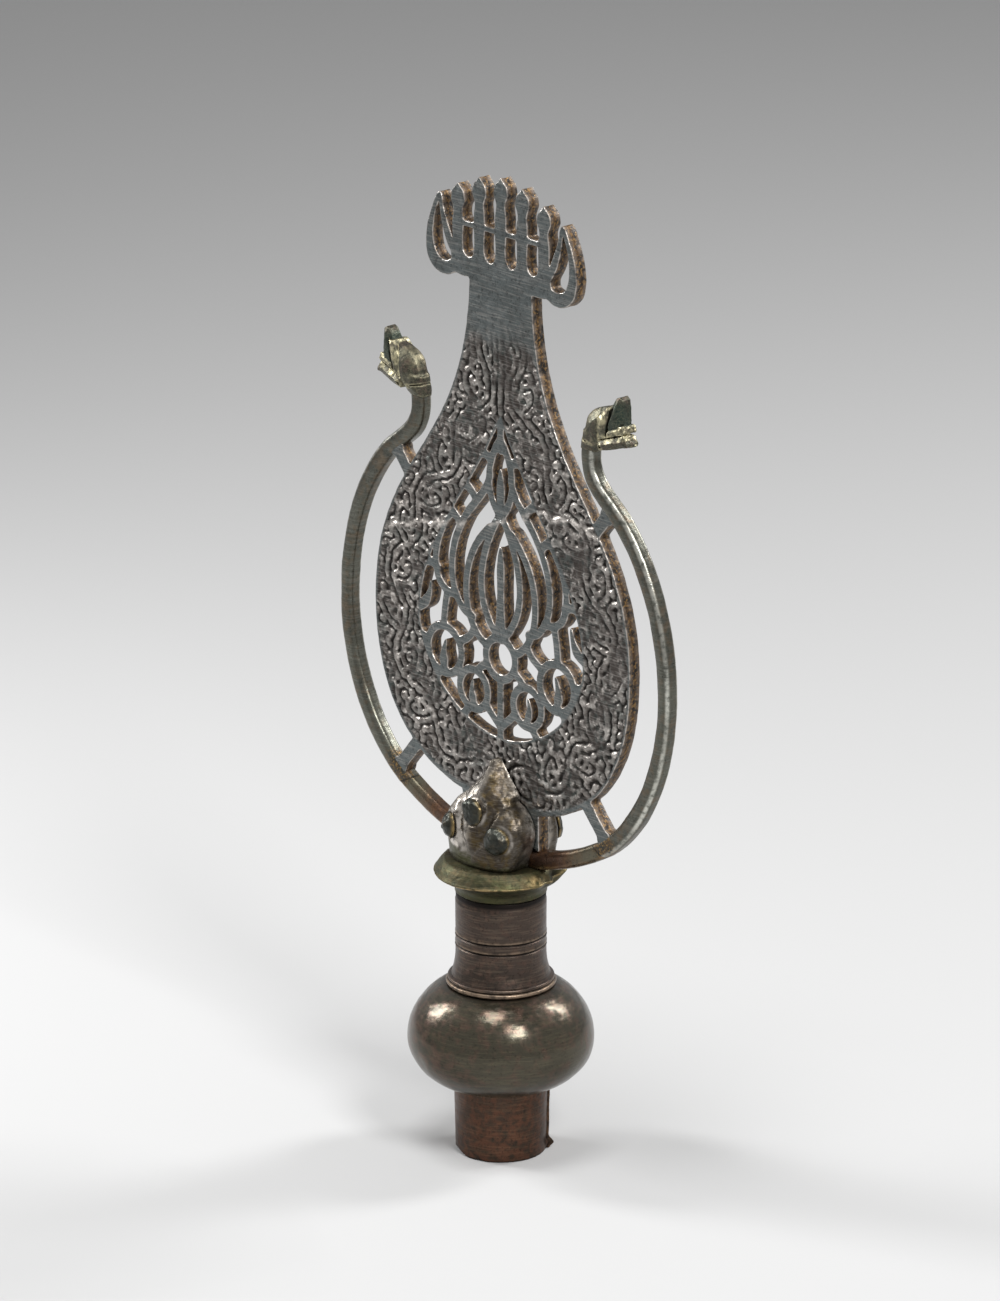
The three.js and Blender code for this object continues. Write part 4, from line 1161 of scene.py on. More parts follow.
    def _finish_shell(
        self, shell: Surface, deepest: float, outside: np.ndarray, rim: np.ndarray,
        hollow: np.ndarray,
    ) -> None:
        """Files and waves a shell, sinks the heads' seats into it, and marks its wear and the
        painted shade of its hollow.

        Args:
            shell: The shell.
            deepest: Its depth.
            outside: Whether each point is on the outer wall.
            rim: 1 at the outer wall's edges.
            hollow: 1 inside the shell, where it is darkened as painted shade.
        """
        px, pz = shell.points[:, 0], shell.points[:, 2] - self.foot_z
        left = smooth_step(2, -6, px) * smooth_step(34, 22, pz) * outside
        seed = int(70 + deepest)
        wave = waves(shell.points, (0.22, 5.0, seed), (0.07, 1.4, seed + 5))
        filed = lattice_noise(shell.points @ np.diag([0.15, 0.15, 1.0]), 0.9, 79)
        shell.pushed((wave + 0.07 * left * filed) * outside)
        crescent = np.zeros(len(shell.points))
        side, up = self.stud_out, self.stud_up
        for sx, sz in ((0, self.rivet_up), (-side, up), (side, up)):
            place, out = self._crown(sx, sz, deepest)
            away = shell.points - place
            deep = away @ out
            radial = np.linalg.norm(away - deep[:, None] * out, axis=1)
            close = outside & (radial < self.stud_r + 3.0) & (deep > -6)
            seat = -0.35 * hump(radial, self.stud_r, 0.8)
            shell.points += (close * seat)[:, None] * out
            right = smooth_step(0.5, 4.0, away[:, 0] + 0.4 * away[:, 2])
            crescent += close * right * hump(radial, self.stud_r + 0.5, 0.45)
        creased = hump(px, 0, 0.8) * smooth_step(21, 26, pz) * outside
        tip_left = smooth_step(0.5, -2.5, px) * smooth_step(24, 28, pz) * outside
        climb = 1.2 + 3.4 * smooth_step(11, -9, px) + 1.1 * rough_noise(shell.points, 2.4, 78)
        green = smooth_step(climb + 0.8, climb - 0.8, pz) * outside
        rubbed = 0.5 * rim + 0.7 * crescent + 0.4 * creased + 1.1 * left + 1.3 * tip_left
        shell.marks["wear_and_glint"] = np.clip(rubbed * (1 - green), 0, 1.4)
        shell.marks["plain"] = 0.85 * green
        # Painted shade inside the shell and along its foot over the collar.
        shell.marks["sunk"] = np.clip(hollow + 0.8 * smooth_step(1.2, 0, pz) * outside, 0, 1)
        shell.marks["wall"] = 1.0 * ~outside

    def _outline(self, share: np.ndarray) -> np.ndarray:
        """Half width of the trefoil: a round lobe below the cusp and an ogee above it."""
        return np.where(
            share < self.lobe[0][-1], through(share, *self.lobe), through(share, *self.ogee)
        )

    def _dome(self, place: np.ndarray, out: np.ndarray, foot: float, seed: int) -> Surface:
        """A hammered head over a shank: its rings have radius r cos(a)^p at rise h sin(a)^q.

        Args:
            place: Middle of the head's seat.
            out: Direction of its axis.
            foot: How far the shank goes down behind the seat.
            seed: Picks the hammer marks.

        Returns:
            The closed head and shank.
        """
        a = np.linspace(0, np.pi / 2, 18)[:-1]
        r = np.concatenate([
            [self.shank_r * 0.9, self.shank_r, self.shank_r, self.stud_r - 0.3, self.stud_r],
            self.stud_r * np.cos(a[1:]) ** 0.85, [0.25],
        ])
        h = np.concatenate([
            [-foot, -foot + 0.3, -self.stud_sink, -self.stud_sink, -self.stud_sink + 0.3],
            self.stud_rise * np.sin(a[1:]) ** 1.35, [self.stud_rise],
        ])
        cols = 44
        turn = np.linspace(0, 2 * np.pi, cols, endpoint=False)
        side = unit(np.cross(out, [0.0, 0.0, 1.0]))
        third = np.cross(side, out)
        circle = np.cos(turn)[:, None] * side + np.sin(turn)[:, None] * third
        rings = place + r[:, None, None] * circle + (h[:, None] * out)[:, None]
        head = capped(rings)
        level = np.concatenate([np.repeat(h, cols), [-foot, self.stud_rise]])
        radius = np.concatenate([np.repeat(r, cols), [0, 0]])
        blows = waves(head.points, (0.42, 3.0, seed), (0.1, 1.1, seed))
        head.pushed(blows * (level > 0))
        right = smooth_step(-1.0, 4.0, head.points[:, 0] - place[0])
        ringed = hump(radius, self.stud_r, 0.4) * (level > -0.3)
        head.marks["wear_and_glint"] = 0.4 * ringed * right
        # Painted shade on the shank and under the head's edge.
        head.marks["sunk"] = 1.0 * (level < -self.stud_sink + 0.15)
        return head

    def _stud(self, x: float, rise: float, deepest: float, seed: int) -> Surface:
        """One side stud, on the front face."""
        place, out = self._crown(x, rise, deepest)
        return self._dome(place, out, self.wall + 1.0, seed)

    def _rivet(self) -> Surface:
        """The upper rivet: a shank through blade and shells, with a dome at each end.

        Returns:
            Both ends as one surface.
        """
        sink, lap = 0.25, 0.3
        front, _ = self._crown(0, self.rivet_up, self.front_depth)
        rear, _ = self._crown(0, self.rivet_up, self.rear_depth)
        half = (-front[1] - rear[1]) / 2 + sink
        front[1] -= sink
        rear[1] -= sink
        ahead = np.array([0.0, -1.0, 0.0])
        head = self._dome(front, ahead, half, 81)
        tail = self._dome(rear, ahead, half - lap, 82).mirrored(1)
        both = [end.moved((0, self.set_back, 0)) for end in (head, tail)]
        faces = both[0].faces + [f + len(both[0].points) for f in both[1].faces]
        marks = {m: np.concatenate([end.marks[m] for end in both]) for m in both[0].marks}
        return Surface(np.vstack([end.points for end in both]), faces, marks)


# The hoop


@dataclass
class Hoop:
    """The rod of the hoop: two arms, and two stubs that enter the clasp.

    The centre line of the right side is drawn in the blade's plane, with heights counted
    from the foot of the plate, and the left side is its mirror image.
    """

    plate_z: float = 124.4
    clasp_z: float = 105.5
    set_back: float = 2.0
    plate_half: float = 63.4
    plate_widest: float = 58.0
    rod_gap: float = 15.6
    rod: float = 2.95
    deep: float = 2.85
    chamfer: float = 1.2
    flare: float = 0.45
    tang_half: float = 12.5
    gap: float = 0.3
    end_up: float = 2.2
    scarf_deg: float = 63.6
    step: float = 0.5
    braze: tuple[float, float] = (51.5, -1.5)  # Where the lower struts are brazed on.

    @property
    def half(self) -> float:
        """Distance of the rod's centre from the axis at the widest."""
        return self.plate_half + self.rod_gap

    @property
    def scarf(self) -> tuple[float, float]:
        """Place where arm and stub meet."""
        return (self.half - 30.6, -4.5)

    @property
    def head_end(self) -> tuple[float, float]:
        """Place where the arm carries the head."""
        return (self.half - 36.9, self.plate_widest + 75.5)

    def upper_line(self) -> np.ndarray:
        """Centre line of the arm, from the head down to the scarf, as three cubics.

        Returns:
            X and Z of its points.
        """
        hx, hz = self.head_end
        sx, sz = self.half - 19.4, self.plate_widest + 51
        cx, cz = self.scarf
        half, wide = self.half, self.plate_widest - 3
        line = chain(
            bezier((hx, hz), (hx - 1.5, hz - 14), (sx - 8.8, sz + 10), (sx, sz), steps=60),
            bezier((sx, sz), (sx + 11.2, sz - 12.5), (half, wide + 23), (half, wide), steps=60),
            bezier((half, wide), (half, wide - 25), (cx + 18.4, cz + 10.5), (cx, cz), steps=60),
        )
        return line + [0, self.plate_z]

    def lower_line(self) -> np.ndarray:
        """Centre line of the stub, from the scarf to the clasp, as one cubic.

        Returns:
            X and Z of its points.
        """
        cx, cz = self.scarf
        ex = self.tang_half + self.gap + 0.5
        ez = self.clasp_z + self.end_up - self.plate_z
        line = bezier((cx, cz), (cx - 9.6, cz - 5.5), (ex + 12, ez + 1.2), (ex, ez), steps=60)
        return line + [0, self.plate_z]

    def build(self) -> None:
        """Makes the four parts of the rod."""
        arm, stub = self._arm(), self._stub()
        for side, flip, arm_seed, stub_seed in (
            ("right", False, 103, 104), ("left", True, 101, 102)
        ):
            one = self._worn(arm.mirrored(0) if flip else arm, arm_seed)
            one.piece(f"{side}_hoop_arm", ARM_BRASS, "arm_brass", f"{side}_arm")
            two = self._worn(stub.mirrored(0) if flip else stub, stub_seed)
            from_axis = np.abs(two.points[:, 0]) + 3 * lattice_noise(two.points, 5.0, 105)
            two.marks["plain"] = smooth_step(30, 46, from_axis)
            two.piece(f"{side}_hoop_stub", STUB_BRASS, "stub_copper_brass", f"{side}_stub")

    def _section(self, half: np.ndarray) -> tuple[np.ndarray, np.ndarray, np.ndarray]:
        """The rod's section: an octagon, rounded by wear in front and crisp behind.

        Args:
            half: Half the rod's width at each place along it.

        Returns:
            Offsets across and along Y for each place, and each section point's wear from 0
            to 1, on the rear bevels and the outer one in front: partly real wear and partly
            painted highlights where the lamps catch those bevels.
        """
        c, rod, deep = self.chamfer, self.rod, self.deep
        flat = deep - c
        corners = [
            (rod, -flat), (rod, flat), (rod - c, deep), (c - rod, deep),
            (-rod, flat), (-rod, -flat), (c - rod, -deep), (rod - c, -deep),
        ]
        line = evenly(np.array(corners), 0.12, closed=True)
        arris = np.zeros(len(line))
        # Bright bevels: partly wear and partly painted highlights of the lamps on the outer edges.
        for x, y, share, width in (
            (c / 2 - rod, deep - c / 2, 1.0, 0.85), (rod - c / 2, deep - c / 2, 1.0, 0.85),
            (rod - c / 2, c / 2 - deep, 0.7, 0.8),
        ):
            away = np.linalg.norm(line - [x, y], axis=1)
            arris = np.maximum(arris, share * np.exp(-((away / width) ** 4)))
        front = smooth_step(1.5, -1.7, line[:, 1])[:, None]
        line = blurred(line, 1.1) * (1 - front) + 1.03 * blurred(line, 6.0) * front
        keep = np.linspace(0, len(line), 64, endpoint=False).astype(int)
        line, arris = line[keep], arris[keep]
        grow = (half / rod)[:, None]
        return line[:, 0] * grow, line[:, 1] + 0 * grow, arris

    def _swept(self, line: np.ndarray, half: np.ndarray, scarf_end: int) -> Surface:
        """The section carried along the centre line, with the scarf's end cut on the slant.

        Args:
            line: Centre line in the XZ plane, at even steps.
            half: Half width of the rod at each place.
            scarf_end: 0 where the scarf is at the line's start, -1 at its end.

        Returns:
            The closed rod, with its wear and painted highlights on the arrises.
        """
        tangent, across = directions(line)
        n, y, arris = self._section(half)
        away = np.linalg.norm(line - line[scarf_end], axis=1)
        scarf = math.radians(self.scarf_deg)
        face = np.array([math.cos(scarf), math.sin(scarf)])
        slope = -(across @ face) / (tangent @ face)
        lean = (slope * np.clip(1 - away / 7, 0, 1))[:, None] * n
        x, z = (
            line[:, k:k + 1] + n * across[:, k:k + 1] + lean * tangent[:, k:k + 1] for k in (0, 1)
        )
        rod = capped(np.stack([x, y + self.set_back, z], axis=2))
        rod.marks["wear_and_glint"] = np.concatenate([np.tile(arris, len(line)), [0, 0]])
        ends = np.repeat(smooth_step(0.7, 0, away), len(arris))
        rod.marks["sunk"] = np.concatenate([0.8 * ends, [1, 1]])
        return rod

    def _arm(self) -> Surface:
        """The right arm, from just short of the head down to the scarf."""
        line = evenly(self.upper_line(), self.step)
        s = np.linspace(0, 1, len(line))
        swell = 1 + 0.03 * np.sin(9 * s) - 0.05 * hump(s, 0.03, 0.03)
        return self._swept(line, self.rod * swell, -1)

    def _stub(self) -> Surface:
        """The right stub, which flares a little where it enters the clasp."""
        line = evenly(self.lower_line(), self.step)
        s = np.linspace(0, 1, len(line))
        return self._swept(line, self.rod + self.flare * s**3, 0)

    def _worn(self, rod: Surface, seed: int) -> Surface:
        """The rod with uneven faces, wear that comes and goes, and a patch of braze.

        Args:
            rod: The plain rod.
            seed: Picks the unevenness.

        Returns:
            A new surface.
        """
        made = Surface(rod.points, rod.faces, dict(rod.marks))
        made.pushed(waves(made.points, (0.1, 9.0, seed), (0.03, 1.8, seed + 7)))
        fade = 0.6 + 0.4 * smooth_step(-0.4, 0.3, lattice_noise(made.points, 14.0, seed + 3))
        made.marks["wear_and_glint"] = made.marks["wear_and_glint"] * fade
        out, up = self.braze
        brazed = [out * np.sign(made.points[:, 0].mean()), 0.0, self.plate_z + up]
        near = np.linalg.norm(made.points - brazed, axis=1)
        near += 2.5 * rough_noise(made.points, 3.0, seed)
        made.marks["wall"] = 0.65 * smooth_step(8.5, 3.5, near)
        return made


# The dragon heads


@dataclass
class DragonHead:
    """A small gaping dragon's head at the end of an arm, blended from simple solids.

    Sizes count from the end of the rod: X outwards, Y across and Z up.
    """

    cell: float = 0.22
    low: tuple[float, float, float] = (-6.0, -6.6, -5.0)
    high: tuple[float, float, float] = (23.5, 6.6, 21.5)

    # Plates of the head: outline in X and Z, half thickness, half thickness at the outline, and
    # how much it grows inwards.
    skull: ClassVar = (
        [(-2.9, -0.3), (-2.5, 2.5), (-1.6, 5), (-0.6, 8), (1.2, 10.8), (3.6, 13.2), (6.4, 15.3),
         (9, 16.3), (9.6, 15.8), (9, 9.5), (7.6, 3.6), (4.6, 0.3), (2.9, -0.3)], 3.9, 1.7, 0.85,
    )
    cheek: ClassVar = (
        [(7.8, 5.8), (6.3, 9.2), (6.9, 12), (8.8, 14.9), (10.9, 16.8), (13.1, 16.7),
         (12.8, 13.6), (11.5, 9.6), (9.8, 6)], 5.0, 3.9, 0.45,
    )
    upper: ClassVar = (
        [(6.4, 6.2), (8.8, 10.5), (11, 15), (12.4, 18.2), (13.8, 20.1), (15.2, 20.6),
         (16.5, 19.7), (17.1, 17.4), (17.2, 12.6), (16.7, 8.6)], 4.4, 2.2, 0.9,
    )
    # The saw cut between cheek and snout: its outline, and how near the middle it comes.
    gap: ClassVar = ([(12.7, 17.6), (13.4, 17.5), (10.5, 6.3), (9.9, 6.5)], 2.5)
    lip: ClassVar = (
        [(6.8, 4.9), (17.8, 8.5), (18.2, 9.2), (17.2, 11.2), (14.8, 10.8), (10.2, 8.3),
         (6.8, 6.8)], 5.2, 3.7, 0.55,
    )
    lower: ClassVar = (
        [(6, 2.6), (6.6, 1), (12, 2.3), (19.6, 4.5), (19.3, 5.6), (17.6, 8.1), (6.6, 4.6)],
        4.9, 3.3, 0.6,
    )

    def build(self, hoop: Hoop) -> None:
        """Makes both heads.

        Args:
            hoop: The hoop that carries them.
        """
        hx, hz = hoop.head_end
        head = self._net().moved((hx, hoop.set_back, hoop.plate_z + hz))
        head.piece("right_head", HEAD_BRASS, "head_brass", "right_dragon_head")
        head.mirrored(0).piece("left_head", HEAD_BRASS, "head_brass", "left_dragon_head")

    def _net(self) -> Surface:
        """The head's surface, with its marks of wear and of painted shade in its hollows.

        Returns:
            The surface, at the end of the rod.
        """
        axes = [np.arange(a, b, self.cell) for a, b in zip(self.low, self.high)]
        grid = np.stack(np.meshgrid(*axes, indexing="ij"), axis=3)
        value = self._distance(grid.reshape(-1, 3))
        head = net_over(value.reshape(grid.shape[:3]), np.array(self.low), self.cell)
        fine = waves(head.points, (0.07, 1.5, 121), (0.12, 4.0, 122))
        q = head.pushed(fine).points
        out = head.normals()
        # Painted shade: a place is darkened where the head comes near the point 0.9 mm out from it,
        # as in hollows and creases.
        hollow = np.clip((0.9 - self._distance(q + 0.9 * out)) / 0.5, 0, 1)
        proud = np.clip((self._distance(q - 0.7 * out) + 0.62) / 0.22, 0, 1)
        snout, cheek, lip, jaw = (
            smooth_step(0.5, 0.1, np.abs(self._leaf(q, *plate)))
            for plate in (self.upper, self.cheek, self.lip, self.lower)
        )
        green = snout * smooth_step(19.8, 17.5, q[:, 2])
        under = smooth_step(0.35, 0.2, (q[:, 2] - 0.3 * q[:, 0]) / 4)
        pale = np.maximum(np.maximum(cheek, lip), jaw * (1 - under))
        mottled = smooth_step(-0.8, 0.4, rough_noise(q, 2.0, 124))
        rubbed = (0.5 * proud + 0.8 * pale * mottled) * (1 - green)
        head.marks["wear_and_glint"] = np.clip(rubbed, 0, 1)
        head.marks["plain"] = 0.9 * green
        head.marks["sunk"] = 0.6 * hollow
        return head

    @staticmethod
    def _leaf(
        p: np.ndarray, outline: list[tuple[float, float]], thick: float, edge: float, slope: float
    ) -> np.ndarray:
        """Distance to a faceted plate that thins towards its outline and the snout.

        Args:
            p: Places.
            outline: Corners of its outline in X and Z.
            thick: Half its greatest thickness.
            edge: Half its thickness at the outline.
            slope: How much that grows per millimetre from the outline.

        Returns:
            About the distance, negative inside.
        """
        x, z = p[:, 0], p[:, 2]
        least, inside = np.full(len(p), np.inf), np.zeros(len(p), bool)
        for (ax, az), (bx, bz) in zip(outline, outline[1:] + outline[:1]):
            dx, dz = bx - ax, bz - az
            t = np.clip(((x - ax) * dx + (z - az) * dz) / (dx * dx + dz * dz), 0, 1)
            least = np.minimum(least, np.hypot(x - ax - t * dx, z - az - t * dz))
            spans = (az > z) != (bz > z)
            inside ^= spans & (x < ax + (z - az) / (dz or 1.0) * dx)
        flat = np.where(inside, -least, least)
        y = np.abs(p[:, 1]) / (1 - 0.28 * smooth_step(5, 20, x))
        facet = (y - edge + slope * flat) / math.hypot(1, slope)
        return np.maximum(np.maximum(flat, facet), y - thick)

    @staticmethod
    def _ball(p: np.ndarray, centre: tuple[float, ...], radii: tuple[float, ...]) -> np.ndarray:
        """Distance to an ellipsoid, measured as its scaled radius less one."""
        return (np.linalg.norm((p - np.array(centre)) / radii, axis=1) - 1) * min(radii)

    @staticmethod
    def _joined(a: np.ndarray, b: np.ndarray, soft: float) -> np.ndarray:
        """Both bodies, with a fillet where they meet: a smooth least of two distances."""
        h = np.clip(0.5 + 0.5 * (b - a) / soft, 0, 1)
        return b + (a - b) * h - soft * h * (1 - h)

    def _cut(self, a: np.ndarray, b: np.ndarray, soft: float) -> np.ndarray:
        """The first body without the second, with an eased edge."""
        return -self._joined(-a, b, soft)

    def _distance(self, p: np.ndarray) -> np.ndarray:
        """Distance to the head: its neck and five plates, less the slit, saw cut and eye.

        Args:
            p: Places.

        Returns:
            About the distance, negative inside.
        """
        x, y, z = p.T
        tube = np.hypot(x - 0.15 * z, y) - 2.9 - 0.06 * z
        body = np.maximum(tube, np.abs(z - 3.2) - 2.9)
        body = self._joined(body, self._ball(p, (4.4, 0, 8.2), (4.8, 4.0, 6.2)), 1.0)
        jag = 0.3 * smooth_step(16, 18, x) * rough_noise(p, 1.3, 123)
        for plate, bite, soft in (
            (self.skull, 0, 2.0), (self.cheek, 0, 0.2), (self.upper, 0, 0.12),
            (self.lip, jag, 0.12), (self.lower, jag, 0.12),
        ):
            body = self._joined(body, self._leaf(p, *plate) + bite, soft)
        ring = np.abs(z - 3.4 + 0.18 * x) - 0.2
        slit = np.maximum(ring, self._ball(p, (-0.6, 0, 3.4), (4.6, 4.4, 2.4)))
        kept = self._ball(p, (0, 0, 3.4), (2.7, 2.7, 4.0))
        body = self._cut(body, np.maximum(slit, -kept), 0.15)
        outline, inmost = self.gap
        saw = np.maximum(self._leaf(p, outline, 9, 9, 0), inmost - np.abs(y))
        body = self._cut(body, saw, 0.1)
        eye = np.hypot(x - 7.6, z - 2.6) - 0.55
        return self._cut(body, np.maximum(eye, 2.2 - np.abs(y)), 0.12)


# The blade


@dataclass
class Raster:
    """A fine map of the blade's plane, with values at even steps of X and Z."""

    low: tuple[float, float] = (-66.0, 95.0)
    high: tuple[float, float] = (66.0, 343.0)
    cell: float = 0.25
    far: float = 99.0  # Stands for a distance where nothing is near.

    @property
    def shape(self) -> tuple[int, int]:
        """How many places the map has along X and Z."""
        return tuple(int((b - a) / self.cell) + 1 for a, b in zip(self.low, self.high))

    def places(self) -> np.ndarray:
        """X and Z of every place of the map, as an array by map by two."""
        axes = [a + self.cell * np.arange(n) for a, n in zip(self.low, self.shape)]
        return np.stack(np.meshgrid(*axes, indexing="ij"), axis=2)

    def nearness(
        self, points: np.ndarray, widths: np.ndarray | float, reach: float
    ) -> np.ndarray:
        """Distance to the nearest of many points, in units of that point's own width.

        Each point is stamped on the cells round it, and a cell keeps its least value.

        Args:
            points: X and Z of the points.
            widths: The unit of each point's distance, or one for all.
            reach: How far the stamp goes, in millimetres.

        Returns:
            The map, with a large number where no point is near.
        """
        span = int(reach / self.cell) + 1
        window = np.arange(-span, span + 1)
        di, dj = (w.ravel() for w in np.meshgrid(window, window, indexing="ij"))
        rows, cols = self.shape
        result = np.full(rows * cols, self.far)
        widths = np.broadcast_to(widths, len(points))
        places = (points - np.array(self.low)) / self.cell
        for part in batches(len(points), 4000):
            near = np.round(places[part]).astype(int)
            i = np.clip(near[:, :1] + di, 0, rows - 1)
            j = np.clip(near[:, 1:] + dj, 0, cols - 1)
            away = np.hypot(i - places[part, :1], j - places[part, 1:]) * self.cell
            away /= widths[part, None]
            np.minimum.at(result, (i * cols + j).ravel(), away.ravel())
        return result.reshape(self.shape)

    def filled(self, loops: list[np.ndarray]) -> np.ndarray:
        """Counts how often a line up to each cell crosses the loops.

        Args:
            loops: Closed lines.

        Returns:
            The map, 1 inside the loops and 0 outside.
        """
        hits = np.zeros(self.shape, int)
        rows, cols = self.shape
        for loop in loops:
            a = (evenly(loop, self.cell * 0.8, closed=True) - np.array(self.low)) / self.cell
            b = np.roll(a, -1, axis=0)
            column = np.ceil(np.minimum(a[:, 0], b[:, 0])).astype(int)
            crosses = (column < np.maximum(a[:, 0], b[:, 0])) & (column < rows)
            a, b, column = a[crosses], b[crosses], column[crosses]
            where = a[:, 1] + (column - a[:, 0]) / (b[:, 0] - a[:, 0]) * (b[:, 1] - a[:, 1])
            np.add.at(hits, (column, np.clip(np.ceil(where).astype(int), 0, cols - 1)), 1)
        return (np.cumsum(hits, axis=1) % 2).astype(float)

    def strokes(self, hold: np.ndarray, period: float) -> np.ndarray:
        """Strokes of one width that wind over the whole map, round those that are held.

        Noise is pressed towards -1 and 1, and then only its waves near one length are kept.
        Over and over, this draws it out into strokes.

        Args:
            hold: Added at each round: above 0 where a stroke has to be, below where none may.
            period: Distance from stroke to stroke, in millimetres.

        Returns:
            The map, below 0 between the strokes and above 0 on them.
        """
        waves = np.hypot(
            np.fft.fftfreq(self.shape[0], self.cell)[:, None],
            np.fft.rfftfreq(self.shape[1], self.cell),
        )
        kept = np.exp(-(((waves * period - 1) / 0.5) ** 2))
        drawn = np.random.default_rng(7).normal(size=self.shape)
        for _ in range(4):
            pressed = np.tanh(2 * drawn / drawn.std() + hold)
            drawn = np.fft.irfft2(np.fft.rfft2(pressed) * kept, s=self.shape)
        return drawn / drawn.std()

    def read(self, values: np.ndarray, points: np.ndarray) -> np.ndarray:
        """The map's value at points, weighted from the four places round each.

        Args:
            values: The map.
            points: X and Z of the points.

        Returns:
            One value per point.
        """
        p = (points - np.array(self.low)) / self.cell
        i, j = (
            np.clip(np.floor(axis).astype(int), 0, n - 2) for axis, n in zip(p.T, self.shape)
        )
        u, v = p[:, 0] - i, p[:, 1] - j
        near = values[i, j] * (1 - u) + values[i + 1, j] * u
        return near * (1 - v) + (values[i, j + 1] * (1 - u) + values[i + 1, j + 1] * u) * v


@dataclass
class VineScroll:
    """Worn vine scrolls in low relief, in the band between the openwork and the plate's edge.

    A stem waves along the middle of the band, and in each of its bends a branch coils in
    and ends in a leaf. Heights count from the foot of the plate.
    """

    plate_z: float = 124.4
    wave: float = 3.6
    period: float = 33.0
    stem: float = 0.85
    coil_r: float = 6.4
    coil_turns: float = 1.55
    step: float = 0.2

    def strokes(self) -> tuple[np.ndarray, np.ndarray]:
        """All strokes of the relief as points with half widths.

        Returns:
            X and Z of the points, and the half width of the stroke at each.
        """
        right = self._side()
        left = [(line * [-1, 1], half) for line, half in right]
        middle = bezier((0, 136), (0.6, 146), (-0.6, 156), (0, 164), steps=90)
        every = right + left + [(middle, np.full(len(middle), 0.8))]
        points = np.vstack([line for line, _ in every])
        return points + [0, self.plate_z], np.concatenate([half for _, half in every])

    def _side(self) -> list[tuple[np.ndarray, np.ndarray]]:
        """The strokes of the right half: a stem that swings as a sine, and its coils.

        Returns:
            Points and half widths of each stroke.
        """
        middle = evenly(
            chain(
                bezier((3, 9.5), (28, 10), (52.3, 28), (52.3, 58), steps=80),
                bezier((52.3, 58), (52.3, 98), (20, 110), (9.6, 146), steps=80),
                bezier((9.6, 146), (8.2, 152), (7.9, 158), (7.8, 166), steps=30),
            ),
            self.step,
        )
        tangent, normal = directions(middle)
        s = self.step * np.arange(len(middle))
        swing = self.wave * np.sin(2 * np.pi * s / self.period)
        strokes = [(middle + swing[:, None] * normal, np.full(len(middle), self.stem))]
        half = self.period / 2
        for k in range(int(s[-1] / half)):
            i = min(int((k + 0.5) * half / self.step), len(middle) - 1)
            side = -1 if k % 2 == 0 else 1
            size = self.coil_r * (0.92 if s[i] > 150 else 1.0)
            centre = middle[i] + side * 2.7 * normal[i]
            strokes += self._coil(centre, tangent[i], side * normal[i], size)
        return strokes

    def _coil(
        self, centre: np.ndarray, along: np.ndarray, out: np.ndarray, size: float
    ) -> list[tuple[np.ndarray, np.ndarray]]:
        """A branch that coils in to a leaf, with leaflets round it.

        The coil is r(a) = size (1 - 0.8 a / whole) at angle a from the stem.

        Args:
            centre: Middle of the coil.
            along: Direction of the stem there.
            out: Direction away from the stem.
            size: Radius where the coil leaves the stem.

        Returns:
            Points and half widths of each stroke.
        """
        whole = 2 * np.pi * self.coil_turns
        last = 259
        a = np.linspace(0, whole, last + 1)
        r = size * (1 - 0.8 * a / whole)
        line = centre + (-np.cos(a) * r)[:, None] * along + (np.sin(a - 0.5) * r)[:, None] * out
        strokes = [(line, 0.8 - 0.15 * a / whole)]
        for turn in np.linspace(0.9, 5.2, 6):
            i = int(turn / whole * last)
            base = line[i]
            away, sweep = unit(base - centre), unit(line[min(i + 4, last)] - base)
            tip = base + 2.9 * away + 2.4 * sweep
            bend = base + 0.6 * away + 2.2 * sweep
            leaf = bezier(base, bend, tip - 0.8 * away, tip, steps=24)
            strokes.append((leaf, 0.35 + 0.75 * np.sin(np.linspace(0.3, 3.0, 25))))
        ahead = unit(line[-1] - line[-12])
        for turn in (-0.9, 0.0, 0.9):
            c, s = math.cos(turn), math.sin(turn)
            aim = np.array([c * ahead[0] - s * ahead[1], s * ahead[0] + c * ahead[1]])
            leaf = line[-1] + np.linspace(0, 1.9, 12)[:, None] * aim
            strokes.append((leaf, 0.3 + 0.65 * np.sin(np.linspace(0.4, 2.9, 12))))
        return strokes


